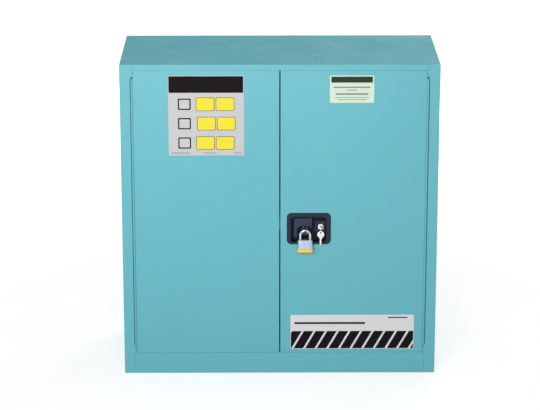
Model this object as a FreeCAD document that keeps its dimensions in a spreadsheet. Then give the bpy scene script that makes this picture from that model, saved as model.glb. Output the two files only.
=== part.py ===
import FreeCAD, Part
import math
import os
import Sketcher

# A two-door steel safety cabinet for corrosives: double walls, two doors on continuous hinges,
# a recessed paddle handle that works a three-point latch, a key lock and a hung padlock.
# Origin: centre of the footprint on the floor. X to the right, Y to the back, Z up.

document = FreeCAD.newDocument("safety_cabinet")
sheet = document.addObject("Spreadsheet::Sheet", "Sizes")
subparts = []
size_names = []


class Size:
    """A length in millimetres, with the sheet expression that it follows."""

    def __init__(self, number, text=None):
        self.number = float(number)
        self.text = text or f"({number})"

    def __add__(self, other):
        other = as_size(other)
        return Size(self.number + other.number, f"({self.text} + {other.text})")

    def __sub__(self, other):
        other = as_size(other)
        return Size(self.number - other.number, f"({self.text} - {other.text})")

    def __mul__(self, other):
        other = as_size(other)
        return Size(self.number * other.number, f"({self.text} * {other.text})")

    def __truediv__(self, other):
        other = as_size(other)
        return Size(self.number / other.number, f"({self.text} / {other.text})")

    def __neg__(self):
        return Size(-self.number, f"(0 - {self.text})")

    def __rsub__(self, other):
        return as_size(other) - self

    __radd__ = __add__
    __rmul__ = __mul__


def as_size(value):
    return value if isinstance(value, Size) else Size(value)


def size(alias, number):
    """One driving dimension: a cell of the sheet under its own name."""
    size_names.append(alias)
    row = len(size_names)
    sheet.set(f"A{row}", alias)
    sheet.set(f"B{row}", str(number))
    sheet.setAlias(f"B{row}", alias)
    return Size(number, f"Sizes.{alias}")


# Cabinet body
width = size("width", 1092)
depth = size("depth", 457)
height = size("height", 1118)
gauge = size("gauge", 1.2)
foot_gap = size("foot_gap", 2)
wall_space = size("wall_space", 38)
flange_width = size("flange_width", 38)
rear_flange = size("rear_flange", 20)
top_rail = size("top_rail", 20)
sill_height = size("sill_height", 75)
base_rise = size("base_rise", 12)
seam_gap = size("seam_gap", 0.4)
edge_round = size("edge_round", 1)
pan_rise = size("pan_rise", 24.8)
pan_lip = size("pan_lip", 51)

# Doors and their hinges
door_thickness = size("door_thickness", 40)
door_stop_gap = size("door_stop_gap", 2)
door_gap = size("door_gap", 1.5)
meeting_gap = size("meeting_gap", 4)
liner_flange = size("liner_flange", 20)
barrel_radius = size("barrel_radius", 3.2)
barrel_forward = size("barrel_forward", 1.5)
barrel_clearance = size("barrel_clearance", 0.4)
hinge_pin_radius = size("hinge_pin_radius", 1.6)
pin_clearance = size("pin_clearance", 0.05)
leaf_gauge = size("leaf_gauge", 1.2)
leaf_depth = size("leaf_depth", 28)
hinge_length = size("hinge_length", 964)
knuckle_pairs = 3

# Places that several pieces share
front = -depth / 2
back = depth / 2
half_width = width / 2
opening_edge = half_width - flange_width
stop_y = front + door_thickness + door_stop_gap
base_low = foot_gap + base_rise
base_top = base_low + gauge
sill_top = foot_gap + sill_height
rail_low = height - top_rail
door_low = sill_top + door_gap
door_high = rail_low - door_gap
door_back = front + door_thickness
side_inner = half_width - gauge
liner_outer = side_inner - wall_space
liner_inner = liner_outer - gauge
rear_inner = back - gauge - wall_space - gauge
ceiling = height - gauge - wall_space - gauge
pan_low = base_top + pan_rise
pan_top = pan_low + gauge + pan_lip
hinge_x = opening_edge - barrel_radius
hinge_y = front - barrel_forward
door_edge = hinge_x - barrel_radius
hinge_low = (door_low + door_high - hinge_length) / 2
knuckle = hinge_length / (2 * knuckle_pairs)


def bind(thing, name, length):
    """Sets one property of a feature from a length and ties it to the sheet."""
    thing.setExpression(name, as_size(length).text)


def new_body(name):
    body = document.addObject("PartDesign::Body", name)
    body.Label = name
    subparts.append(body)
    return body


def origin_part(body, role):
    return next(item for item in body.Origin.OriginFeatures if item.Role == role)


def fix(drawing, kind, geometry, point, length):
    """Adds a dimension to a sketch; point is None for a radius."""
    places = [geometry] if point is None else [geometry, point]
    number = drawing.addConstraint(Sketcher.Constraint(kind, *places, length.number))
    drawing.setExpression(f"Constraints[{number}]", length.text)


def place_point(drawing, geometry, point, place):
    fix(drawing, "DistanceX", geometry, point, place[0])
    fix(drawing, "DistanceY", geometry, point, place[1])


def vector(place):
    return FreeCAD.Vector(place[0].number, place[1].number, 0)


def step_towards(start, end):
    """The unit step along one axis from one corner to the next."""
    across = as_size(end[0]).number - as_size(start[0]).number
    along = as_size(end[1]).number - as_size(start[1]).number
    if abs(across) > abs(along):
        return (math.copysign(1, across), 0)
    return (0, math.copysign(1, along))


def rounded_corner(points, k):
    """Where the sides meet the arc of corner k, its centre and its radius."""
    corner = points[k]
    x, y, radius = as_size(corner[0]), as_size(corner[1]), as_size(corner[2])
    before = step_towards(corner, points[k - 1])
    after = step_towards(corner, points[(k + 1) % len(points)])
    arrive = (x + radius * before[0], y + radius * before[1])
    leave = (x + radius * after[0], y + radius * after[1])
    centre = (x + radius * (before[0] + after[0]), y + radius * (before[1] + after[1]))
    return arrive, leave, centre, radius


def draw_outline(drawing, points):
    """Draws one closed outline; a third value in a point rounds that corner."""
    corners = []
    for k, point in enumerate(points):
        if len(point) == 3:
            corners.append(rounded_corner(points, k))
        else:
            place = (as_size(point[0]), as_size(point[1]))
            corners.append((place, place, None, None))
    sides = []
    for k, corner in enumerate(corners):
        start = vector(corner[1])
        end = vector(corners[(k + 1) % len(corners)][0])
        sides.append(drawing.addGeometry(Part.LineSegment(start, end), False))
    for k, (arrive, leave, centre, radius) in enumerate(corners):
        place_point(drawing, sides[k], 1, leave)
        if radius is None:
            drawing.addConstraint(Sketcher.Constraint("Coincident", sides[k - 1], 2, sides[k], 1))
            continue
        place_point(drawing, sides[k - 1], 2, arrive)
        add_corner_arc(drawing, sides[k - 1], sides[k], vector(arrive), vector(leave), vector(centre), radius)


def add_corner_arc(drawing, side_in, side_out, arrive, leave, centre, radius):
    turn = (arrive - centre).cross(leave - centre).z
    first, last = (arrive, leave) if turn > 0 else (leave, arrive)
    joints = ((side_in, 2), (side_out, 1)) if turn > 0 else ((side_out, 1), (side_in, 2))
    start = math.atan2(first.y - centre.y, first.x - centre.x)
    end = math.atan2(last.y - centre.y, last.x - centre.x)
    if end < start:
        end += 2 * math.pi
    circle = Part.Circle(centre, FreeCAD.Vector(0, 0, 1), radius.number)
    arc = drawing.addGeometry(Part.ArcOfCircle(circle, start, end), False)
    drawing.addConstraint(Sketcher.Constraint("Coincident", arc, 1, *joints[0]))
    drawing.addConstraint(Sketcher.Constraint("Coincident", arc, 2, *joints[1]))
    fix(drawing, "Radius", arc, None, radius)


def draw_circle(drawing, x, y, radius):
    centre = (as_size(x), as_size(y))
    radius = as_size(radius)
    circle = Part.Circle(vector(centre), FreeCAD.Vector(0, 0, 1), radius.number)
    ring = drawing.addGeometry(circle, False)
    place_point(drawing, ring, 3, centre)
    fix(drawing, "Radius", ring, None, radius)


def rectangle(x0, y0, x1, y1, radius=None):
    corners = [(x0, y0), (x1, y0), (x1, y1), (x0, y1)]
    return corners if radius is None else [(x, y, radius) for x, y in corners]


def cut_corners(x, y, across, along, corner):
    """A rectangle by its centre and its size, with its corners cut off."""
    far, near = across / 2, across / 2 - corner
    high, low = along / 2, along / 2 - corner
    return [
        (x - near, y - high), (x + near, y - high), (x + far, y - low), (x + far, y + low),
        (x + near, y + high), (x - near, y + high), (x - far, y + low), (x - far, y - low),
    ]


def around(x, y, across, along, radius=None):
    """A rectangle by its centre and its whole width and height."""
    return rectangle(x - across / 2, y - along / 2, x + across / 2, y + along / 2, radius)


def prism(body, name, plane, outlines, low, high, cut=False, circles=()):
    """Adds, or cuts, the prism of some outlines between two levels along the plane's axis."""
    low, high = as_size(low), as_size(high)
    drawing = body.newObject("Sketcher::SketchObject", name + "_outline")
    drawing.AttachmentSupport = [(origin_part(body, plane + "_Plane"), "")]
    drawing.MapMode = "FlatFace"
    bind(drawing, "AttachmentOffset.Base.z", -high if plane == "XZ" else low)
    for points in outlines:
        draw_outline(drawing, points)
    for x, y, radius in circles:
        draw_circle(drawing, x, y, radius)
    feature = body.newObject("PartDesign::Pocket" if cut else "PartDesign::Pad", name)
    feature.Profile = drawing
    feature.Reversed = cut
    bind(feature, "Length", high - low)
    return feature


def repeat(body, name, feature, role, pitch, count):
    """Repeats a feature along one of the body's own axes."""
    pattern = body.newObject("PartDesign::LinearPattern", name)
    pattern.Originals = [feature]
    pattern.Direction = (origin_part(body, role), [""])
    pattern.Occurrences = count
    bind(pattern, "Length", pitch * (count - 1))
    body.Tip = pattern
    return pattern


def dress_edges(body, name, kind, dimension, length, chosen):
    """Works the edges of the body so far whose box the rule picks."""
    document.recompute()
    base = body.Tip
    edges = [f"Edge{k}" for k, edge in enumerate(base.Shape.Edges, 1) if chosen(edge.BoundBox)]
    dressing = body.newObject(f"PartDesign::{kind}", name)
    dressing.Base = (base, edges)
    bind(dressing, dimension, length)


def fillet(body, name, radius, chosen):
    dress_edges(body, name, "Fillet", "Radius", radius, chosen)


def chamfer(body, name, setback, chosen):
    dress_edges(body, name, "Chamfer", "Size", setback, chosen)


def at(value, length):
    return abs(value - as_size(length).number) < 0.01


def settle(thing, x, y, z):
    for axis, length in zip("xyz", (x, y, z)):
        bind(thing, f"Placement.Base.{axis}", length)


TURNS = {
    "X": FreeCAD.Rotation(FreeCAD.Vector(0, 1, 0), 90),
    "Y": FreeCAD.Rotation(FreeCAD.Vector(1, 0, 0), -90),
    "Z": FreeCAD.Rotation(),
}


def block(name, low, high):
    """A box between two corners."""
    box = document.addObject("Part::Box", name)
    for side, near, far in zip(("Length", "Width", "Height"), low, high):
        bind(box, side, as_size(far) - as_size(near))
    settle(box, *low)
    return box


def cylinder(name, centre, radius, length, axis="Z"):
    """A cylinder from the centre of its first end, along +X, +Y or +Z."""
    shape = document.addObject("Part::Cylinder", name)
    shape.Placement = FreeCAD.Placement(FreeCAD.Vector(), TURNS[axis])
    bind(shape, "Radius", radius)
    bind(shape, "Height", length)
    settle(shape, *centre)
    return shape


def hexagon(name, centre, flats, length, axis="Z"):
    """A hexagonal prism by its width across flats."""
    shape = document.addObject("Part::Prism", name)
    shape.Polygon = 6
    shape.Placement = FreeCAD.Placement(FreeCAD.Vector(), TURNS[axis])
    bind(shape, "Circumradius", flats / math.sqrt(3))
    bind(shape, "Height", length)
    settle(shape, *centre)
    return shape


def fuse(name, pieces):
    joined = document.addObject("Part::MultiFuse", name)
    joined.Shapes = pieces
    joined.Refine = True
    return joined


def cut(name, base, tools):
    result = document.addObject("Part::Cut", name)
    result.Base = base
    result.Tool = tools[0] if len(tools) == 1 else fuse(name + "_tools", tools)
    return result


def piece(name, shape):
    """Names a finished shape as one node of the part."""
    shape.Label = name
    subparts.append(shape)
    return shape


# Cabinet walls

# Vents: one low in the left wall and one high in the right wall
vent_bore = size("vent_bore", 26)
vent_wall = size("vent_wall", 4)
vent_collar = size("vent_collar", 8)
vent_proud = size("vent_proud", 1.5)
vent_low_height = size("vent_low_height", 190)
vent_from_top = size("vent_from_top", 133)
vent_y = as_size(0)
vent_outer = vent_bore + vent_wall
vent_places = {"left": (-1, vent_low_height, "lower"), "right": (1, height - vent_from_top, "upper")}

# Slots of the shelf hangers, in two columns on each side
slot_width = size("slot_width", 4)
slot_height = size("slot_height", 20)
slot_first = size("slot_first", 140)
slot_from_top = size("slot_from_top", 152.5)
slot_rows = 14
slot_pitch = (height - slot_from_top - slot_first) / (slot_rows - 1)
slot_inset = size("slot_inset", 70)
slot_columns = (stop_y + slot_inset, rear_inner - slot_inset)


def side_panel(name, side):
    """Outer side: a sheet folded in at the back, and at the front into the door frame's edge."""
    body = new_body(name)
    outline = [
        (half_width, front), (half_width, back - gauge), (half_width - rear_flange, back - gauge),
        (half_width - rear_flange, back - 2 * gauge), (side_inner, back - 2 * gauge),
        (side_inner, front + gauge), (opening_edge + gauge, front + gauge),
        (opening_edge + gauge, stop_y), (opening_edge, stop_y), (opening_edge, front),
    ]
    outline = [(x * side, y) for x, y in outline]
    prism(body, name + "_folds", "XY", [outline], foot_gap, height - gauge)
    level = vent_places[name.split("_")[0]][1]
    low, high = (side_inner, half_width) if side > 0 else (-half_width, -side_inner)
    prism(body, name + "_vent_hole", "YZ", [], low, high, True, [(vent_y, level, vent_outer)])


def side_liner(name, side):
    """Inner side wall with a front flange and the slots that carry the shelf."""
    body = new_body(name)
    outline = [
        (liner_inner, stop_y), (side_inner, stop_y), (side_inner, stop_y + gauge),
        (liner_outer, stop_y + gauge), (liner_outer, rear_inner + gauge), (liner_inner, rear_inner + gauge),
    ]
    outline = [(x * side, y) for x, y in outline]
    prism(body, name + "_folds", "XY", [outline], base_top, ceiling)
    low, high = (liner_inner, liner_outer) if side > 0 else (-liner_outer, -liner_inner)
    level = vent_places[name.split("_")[0]][1]
    prism(body, name + "_vent_hole", "YZ", [], low, high, True, [(vent_y, level, vent_outer)])
    slots = [around(y, slot_first, slot_width, slot_height) for y in slot_columns]
    row = prism(body, name + "_slots", "YZ", slots, low, high, True)
    repeat(body, name + "_slot_rows", row, "Z_Axis", slot_pitch, slot_rows)


def plain_plate(name, plane, outline, low, high, circles=()):
    body = new_body(name)
    prism(body, name + "_sheet", plane, [outline], low, high, False, circles)
    return body


strike_width = size("strike_width", 40)
strike_depth = size("strike_depth", 16)
strike_gauge = size("strike_gauge", 2)


def top_panel():
    """Top sheet, folded down into the rail over the doors."""
    body = new_body("top_panel")
    prism(body, "top_sheet", "XY", [rectangle(-half_width, front, half_width, back)], height - gauge, height)
    rooted = height - gauge / 2
    rail = [
        (front, rooted), (front, rail_low), (stop_y + gauge, rail_low),
        (stop_y + gauge, rail_low + gauge), (front + gauge, rail_low + gauge), (front + gauge, rooted),
    ]
    rail_end = opening_edge - seam_gap
    prism(body, "top_rail", "YZ", [rail], -rail_end, rail_end)
    bolt_hole(body, "top_rail_bolt_hole", rail_low, rail_low + gauge, top_rod_x)
    fillet(body, "top_edge_round", edge_round, lambda box: at(box.ZMin, height) and (
        at(box.YMax, front) or at(box.XMax, -half_width) or at(box.XMin, half_width)))


def sill_rail():
    """Front sill: a skirt under the doors, folded back at its top and its bottom."""
    body = new_body("sill_rail")
    outline = [
        (front, foot_gap), (front, sill_top), (stop_y, sill_top), (stop_y, sill_top - gauge),
        (front + gauge, sill_top - gauge), (front + gauge, base_low),
        (stop_y + rear_flange, base_low), (stop_y + rear_flange, base_low - gauge),
        (front + gauge, base_low - gauge), (front + gauge, foot_gap),
    ]
    rail_end = opening_edge - seam_gap
    prism(body, "sill_folds", "YZ", [outline], -rail_end, rail_end)
    bolt_hole(body, "sill_bolt_hole", sill_top - gauge, sill_top, bottom_rod_x)


def bolt_hole(body, name, low, high, x):
    """The hole that a bolt end would enter, in a rail and in its strike."""
    hole = around(x, rod_y, rod_width + 4 * rod_fit, rod_gauge + 4 * rod_fit)
    prism(body, name, "XY", [hole], low, high, True)


def frame_strikes():
    """Hardened plates behind the two rails, over the holes for the bolts."""
    plates = []
    half_long, half_wide = rod_width / 2 + 2 * rod_fit, rod_gauge / 2 + 2 * rod_fit
    under_sill = sill_top - gauge - strike_gauge
    for end, x, low in (("top", top_rod_x, rail_low + gauge), ("bottom", bottom_rod_x, under_sill)):
        high = low + strike_gauge
        plate = block(f"{end}_strike_plate", (x - strike_width / 2, rod_y - strike_depth / 2, low),
                      (x + strike_width / 2, rod_y + strike_depth / 2, high))
        slot = block(f"{end}_strike_slot", (x - half_long, rod_y - half_wide, low),
                     (x + half_long, rod_y + half_wide, high))
        plates.append(cut(f"{end}_strike", plate, [slot]))
    piece("frame_strikes", fuse("frame_strikes", plates))


def back_panel():
    """Flat back sheet on the sides' rear flanges, with the grounding bolt's hole."""
    outline = rectangle(-half_width, foot_gap, half_width, height - gauge)
    plain_plate("back_panel", "XZ", outline, back - gauge, back, [(ground_x, ground_z, ground_radius)])


def bottom_panel():
    circles = [(x, y, foot_stud_radius + foot_hole_clearance) for x, y in foot_places]
    outline = rectangle(-side_inner, stop_y, side_inner, back - 2 * gauge)
    plain_plate("bottom_panel", "XY", outline, base_low, base_top, circles)


def top_liner():
    outline = [
        (stop_y, ceiling), (rear_inner + gauge, ceiling), (rear_inner + gauge, ceiling + gauge),
        (stop_y + gauge, ceiling + gauge), (stop_y + gauge, rail_low), (stop_y, rail_low),
    ]
    plain_plate("top_liner", "YZ", outline, -side_inner, side_inner)


def rear_liner():
    outline = rectangle(-liner_inner, base_top, liner_inner, ceiling)
    plain_plate("rear_liner", "XZ", outline, rear_inner, rear_inner + gauge)


def sump_pan():
    """Leakproof sill: a welded pan as deep as the cabinet's floor."""
    body = new_body("sump_pan")
    outside = rectangle(-liner_inner, stop_y, liner_inner, rear_inner)
    prism(body, "sump_block", "XY", [outside], pan_low, pan_top)
    inside = rectangle(gauge - liner_inner, stop_y + gauge, liner_inner - gauge, rear_inner - gauge)
    prism(body, "sump_hollow", "XY", [inside], pan_low + gauge, pan_top, True)


# Shelf, its hangers and its tray
shelf_row = 6
shelf_drop = size("shelf_drop", 6)
shelf_gauge = size("shelf_gauge", 1.2)
shelf_lip = size("shelf_lip", 25)
shelf_side_lip = size("shelf_side_lip", 12)
shelf_clearance = size("shelf_clearance", 4)
hanger_gauge = size("hanger_gauge", 1.5)
hanger_ledge = size("hanger_ledge", 20)
hanger_width = size("hanger_width", 24)
tray_wall = size("tray_wall", 3)
tray_height = size("tray_height", 38)
tray_rim = size("tray_rim", 6)
tray_clearance = size("tray_clearance", 5)
hook_fit = size("hook_fit", 0.3)
hanger_drop = size("hanger_drop", 16)
hanger_tab = size("hanger_tab", 10)
hook_drop = size("hook_drop", 6)
shelf_set_back = size("shelf_set_back", 12)
shelf_rise = size("shelf_rise", 10)

shelf_front = stop_y + shelf_set_back
shelf_rear = rear_inner - shelf_clearance
shelf_slope = shelf_drop / (shelf_rear - shelf_front)
shelf_level = slot_first + shelf_row * slot_pitch + shelf_rise
shelf_end = liner_inner - shelf_clearance


def under_shelf(y):
    """Height of the sloped shelf's underside at a distance from the front."""
    return shelf_level + shelf_slope * (shelf_rear - y)


def sloped(y0, y1, rise_low, rise_high):
    """An outline between two planes parallel to the shelf."""
    return [
        (y0, under_shelf(y0) + rise_low), (y1, under_shelf(y1) + rise_low),
        (y1, under_shelf(y1) + rise_high), (y0, under_shelf(y0) + rise_high),
    ]


def shelf_hangers():
    """Four brackets: a ledge under the shelf and a tab that hooks through a slot of the liner."""
    hangers = []
    slot_low = slot_first + shelf_row * slot_pitch - slot_height / 2
    for side, wall in ((-1, "left"), (1, "right")):
        for y, end in zip(slot_columns, ("front", "rear")):
            ledge_top = under_shelf(y + hanger_width / 2)
            name = f"{wall}_{end}_hanger"

            def slab(part, x0, x1, y0, y1, z0, z1):
                low_x, high_x = (x0, x1) if side > 0 else (-x1, -x0)
                return block(f"{name}_{part}", (low_x, y0, z0), (high_x, y1, z1))

            near, far = y - hanger_width / 2, y + hanger_width / 2
            tab_near, tab_far = y - slot_width / 2 + hook_fit, y + slot_width / 2 - hook_fit
            plate_in, ledge_in = liner_inner - hanger_gauge, liner_inner - hanger_ledge
            hook_in = liner_outer + hook_fit
            hook_out = hook_in + hanger_gauge
            tab_top = slot_low + hanger_tab
            hangers.append(fuse(name, [
                slab("plate", plate_in, liner_inner, near, far, slot_low - hanger_drop, ledge_top),
                slab("ledge", ledge_in, liner_inner, near, far, ledge_top - hanger_gauge, ledge_top),
                slab("tab", plate_in, hook_out, tab_near, tab_far, slot_low, tab_top),
                slab("hook", hook_in, hook_out, tab_near, tab_far, slot_low - hook_drop, tab_top),
            ]))
    piece("shelf_hangers", fuse("shelf_hangers", hangers))


def shelf():
    """Galvanised shelf that slopes to the back, lipped at its front and its ends."""
    body = new_body("shelf")
    y0, y1 = shelf_front, shelf_rear
    profile = [
        (y0, under_shelf(y0) + shelf_gauge), (y0, under_shelf(y0) - shelf_lip),
        (y0 + shelf_gauge, under_shelf(y0) - shelf_lip), (y0 + shelf_gauge, under_shelf(y0 + shelf_gauge)),
        (y1, under_shelf(y1)), (y1, under_shelf(y1) + shelf_gauge),
    ]
    prism(body, "shelf_sheet", "YZ", [profile], -shelf_end, shelf_end)
    for side, low in (("left", -shelf_end), ("right", shelf_end - shelf_gauge)):
        lip = sloped(y0, y1, shelf_gauge / 2, shelf_side_lip)
        prism(body, f"shelf_{side}_lip", "YZ", [lip], low, low + shelf_gauge)


def shelf_tray():
    """Polyethylene spill tray that lies on the shelf."""
    body = new_body("shelf_tray")
    end = shelf_end - shelf_gauge - tray_clearance - tray_rim
    near, far = shelf_front + tray_rim, shelf_rear - tray_rim
    prism(body, "tray_block", "YZ", [sloped(near, far, shelf_gauge, shelf_gauge + tray_height)], -end, end)
    top = shelf_gauge + tray_height
    rim = sloped(near - tray_rim / 2, far + tray_rim / 2, top - tray_wall, top)
    prism(body, "tray_rim", "YZ", [rim], -end - tray_rim, end + tray_rim)
    inside = sloped(near + tray_wall, far - tray_wall, shelf_gauge + tray_wall, top + tray_wall)
    prism(body, "tray_hollow", "YZ", [inside], -end + tray_wall, end - tray_wall, True)


# Vents, grounding bolt and feet
vent_lip = size("vent_lip", 2)
vent_thread_clearance = size("vent_thread_clearance", 0.2)
plug_head = size("plug_head", 3)
plug_recess = size("plug_recess", 6)
plug_length = size("plug_length", 14)
plug_square = size("plug_square", 20)
bushing_inside = size("bushing_inside", 2)
screen_gauge = size("screen_gauge", 1)
screen_hole = size("screen_hole", 9)
screen_pitch = size("screen_pitch", 11)
screen_rows = 3
ground_inset = size("ground_inset", 76)
ground_height = size("ground_height", 60)
ground_radius = size("ground_radius", 4)
ground_length = size("ground_length", 12)
nut_flats = size("nut_flats", 13)
nut_height = size("nut_height", 6.5)
foot_pad_radius = size("foot_pad_radius", 20)
foot_pad_height = size("foot_pad_height", 10)
foot_stud_radius = size("foot_stud_radius", 5)
foot_stud_length = size("foot_stud_length", 22)
foot_hole_clearance = size("foot_hole_clearance", 1)
foot_nut_flats = size("foot_nut_flats", 17)
foot_nut_height = size("foot_nut_height", 8)
foot_inset_x = size("foot_inset_x", 60)
foot_inset_y = size("foot_inset_y", 75)

ground_x, ground_z = ground_inset - half_width, ground_height
foot_x, foot_y = half_width - foot_inset_x, depth / 2 - foot_inset_y
foot_places = [(x * foot_x, y * foot_y) for x in (-1, 1) for y in (-1, 1)]


def across_wall(side, near, far):
    """The low and high X of a stretch that runs outwards on the left or the right."""
    return (near, far) if side > 0 else (-far, -near)


def wall_cylinder(name, side, level, radius, near, far):
    low, high = across_wall(side, near, far)
    return cylinder(name, (low, vent_y, level), radius, high - low, "X")


def vent(wall):
    """A two-inch bung: bushing through both walls, flame screen inside, plug from outside."""
    side, level, word = vent_places[wall]
    inner_end = liner_inner - bushing_inside
    outer_end = half_width + vent_proud
    screen_in = liner_outer + vent_lip
    screen_out = screen_in + screen_gauge
    plug_end = outer_end - plug_head
    plug_back = plug_end - plug_length
    bushing = fuse(f"{word}_vent_barrel", [
        wall_cylinder(f"{word}_vent_tube", side, level, vent_outer, inner_end, outer_end),
        wall_cylinder(f"{word}_vent_collar", side, level, vent_outer + vent_collar, half_width, outer_end),
    ])
    piece(f"{word}_vent_bushing", cut(f"{word}_vent_bushing", bushing, [
        wall_cylinder(f"{word}_vent_throat", side, level, vent_bore - vent_lip, inner_end, outer_end),
        wall_cylinder(f"{word}_vent_bore", side, level, vent_bore, screen_in, outer_end),
    ]))
    body = new_body(f"{word}_flame_screen")
    low, high = across_wall(side, screen_in, screen_out)
    steps = [k - (screen_rows - 1) / 2 for k in range(screen_rows)]
    openings = [
        around(vent_y + screen_pitch * across, level + screen_pitch * along, screen_hole, screen_hole)
        for across in steps for along in steps
    ]
    prism(body, f"{word}_screen_disc", "YZ", openings, low, high, False, [(vent_y, level, vent_bore)])
    plug_radius = vent_bore - vent_thread_clearance
    plug = wall_cylinder(f"{word}_plug_body", side, level, plug_radius, plug_back, outer_end)
    socket = around(vent_y, level, plug_square, plug_square)
    socket_low, socket_high = across_wall(side, outer_end - plug_recess, outer_end)
    key_hole = block(f"{word}_plug_square", (socket_low, socket[0][0], socket[0][1]),
                     (socket_high, socket[2][0], socket[2][1]))
    piece(f"{word}_vent_plug", cut(f"{word}_vent_plug", plug, [key_hole]))


def grounding_bolt():
    bolt_start = back - gauge - nut_height
    piece("ground_stud", cylinder("ground_stud", (ground_x, bolt_start, ground_z), ground_radius,
                                  ground_length + gauge + nut_height, "Y"))
    nuts = []
    for name, y in (("inner", bolt_start), ("outer", back)):
        nut = hexagon(f"{name}_nut_body", (ground_x, y, ground_z), nut_flats, nut_height, "Y")
        bore = cylinder(f"{name}_nut_bore", (ground_x, y, ground_z), ground_radius, nut_height, "Y")
        nuts.append(cut(f"{name}_nut", nut, [bore]))
    piece("ground_nuts", fuse("ground_nuts", nuts))


def levelling_feet():
    """Four pads on threaded studs, screwed up through nuts welded to the bottom panel."""
    nuts = []
    thread = foot_stud_radius + pin_clearance
    words = ("front_left", "rear_left", "front_right", "rear_right")
    for word, (x, y) in zip(words, foot_places):
        pad = cylinder(f"{word}_pad", (x, y, 0), foot_pad_radius, foot_pad_height)
        stud = cylinder(f"{word}_stud", (x, y, foot_pad_height), foot_stud_radius, foot_stud_length)
        piece(f"{word}_foot", fuse(f"{word}_foot", [pad, stud]))
        nut = hexagon(f"{word}_foot_nut_body", (x, y, base_top), foot_nut_flats, foot_nut_height)
        bore = cylinder(f"{word}_foot_nut_bore", (x, y, base_top), thread, foot_nut_height)
        nuts.append(cut(f"{word}_foot_nut", nut, [bore]))
    piece("foot_nuts", fuse("foot_nuts", nuts))


# Handle, latch and lock: places are worked out from the face of the doors
cup_x = size("cup_x", 100.5)
cup_z = size("cup_z", 535)
cup_width = size("cup_width", 153)
cup_height = size("cup_height", 114)
cup_corner = size("cup_corner", 16)
cup_proud = size("cup_proud", 2)
cup_wall = size("cup_wall", 2)
cup_depth = size("cup_depth", 22)
recess_width = size("recess_width", 121.5)
recess_height = size("recess_height", 90)
recess_corner = size("recess_corner", 8)
recess_low = size("recess_low", 8)
recess_left = size("recess_left", 14.5)
rim_bevel = size("rim_bevel", 1.2)
ledge_left = size("ledge_left", 24)
ledge_right = size("ledge_right", 16)
ledge_sink = size("ledge_sink", 12)
ledge_gap = size("ledge_gap", 3)
ear_width = size("ear_width", 10)
ear_height = size("ear_height", 6)

paddle_pivot_in = size("paddle_pivot_in", 69.5)
paddle_sink = size("paddle_sink", 6)
paddle_gauge = size("paddle_gauge", 4)
paddle_pin_radius = size("paddle_pin_radius", 2)
paddle_barrel = size("paddle_barrel", 4.5)
paddle_reach = size("paddle_reach", 58)
paddle_leg = size("paddle_leg", 9)
paddle_top = size("paddle_top", 36)
paddle_notch = size("paddle_notch", 8)
paddle_foot = size("paddle_foot", 34)
arm_length = size("arm_length", 20)
arm_level = size("arm_level", 16)
arm_height = size("arm_height", 6)
arm_width = size("arm_width", 5)
ball_radius = size("ball_radius", 3)
ball_clearance = size("ball_clearance", 0.3)
slot_margin = size("slot_margin", 3)
slot_side = size("slot_side", 3)
paddle_tail = size("paddle_tail", 3.6)
paddle_set = size("paddle_set", 3)
paddle_corner = size("paddle_corner", 3)
foot_round = size("foot_round", 2)
arch_round = size("arch_round", 16)
finger_lip = size("finger_lip", 3)
finger_lip_depth = size("finger_lip_depth", 10)

plate_gauge = size("plate_gauge", 1.5)
plate_margin = size("plate_margin", 7)
plate_corner = size("plate_corner", 4)
layer_gap = size("layer_gap", 0.5)
rotor_gauge = size("rotor_gauge", 2.5)
rotor_arm = size("rotor_arm", 26)
rotor_half = size("rotor_half", 5)
rotor_pin_radius = size("rotor_pin_radius", 3)
rivet_radius = size("rivet_radius", 4)
tab_gauge = size("tab_gauge", 2.5)
tab_gap = size("tab_gap", 0.3)
rivet_rim = size("rivet_rim", 2)
rivet_head = size("rivet_head", 2)
rod_width = size("rod_width", 14)
rod_gauge = size("rod_gauge", 2.5)
rod_fit = size("rod_fit", 0.3)
slot_play = size("slot_play", 2.4)
bolt_throw = size("bolt_throw", 10)
bolt_nose = size("bolt_nose", 2)
bolt_level = size("bolt_level", 12)
bolt_height = size("bolt_height", 12)
rod_end_gap = size("rod_end_gap", 0.5)
bolt_step = size("bolt_step", 30)
bolt_step_width = size("bolt_step_width", 12)
strike_front = size("strike_front", 6)
guide_rim = size("guide_rim", 5)
guide_height = size("guide_height", 12)
guide_roof = size("guide_roof", 2)
guide_near_end = size("guide_near_end", 65)
guide_near_rotor = size("guide_near_rotor", 120)
centre_guide_in = size("centre_guide_in", 14)

pivot_x = cup_x - cup_width / 2 + recess_left + paddle_pivot_in
pivot_y = front + paddle_sink
recess_x = cup_x - cup_width / 2 + recess_left + recess_width / 2
recess_z = cup_z - cup_height / 2 + recess_low + recess_height / 2
cup_floor = front + cup_depth - cup_wall
arm_z = cup_z + arm_level
rotor_x = pivot_x - ball_radius - ball_clearance - tab_gauge / 2
rotor_z = arm_z - rotor_arm
plate_y = front + cup_depth
rotor_y = plate_y + plate_gauge + layer_gap
rod_face = rotor_y + rotor_gauge + layer_gap
rod_y = rod_face + rod_gauge / 2
bolt_y = rod_face + rod_gauge + layer_gap
top_rod_x = rotor_x - rotor_arm
bottom_rod_x = rotor_x + rotor_arm
bolt_z = cup_z + bolt_level


def door_x(side):
    """The low and high X of a door, between the meeting gap and its hinge."""
    return across_wall(side, meeting_gap / 2, door_edge)


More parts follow.
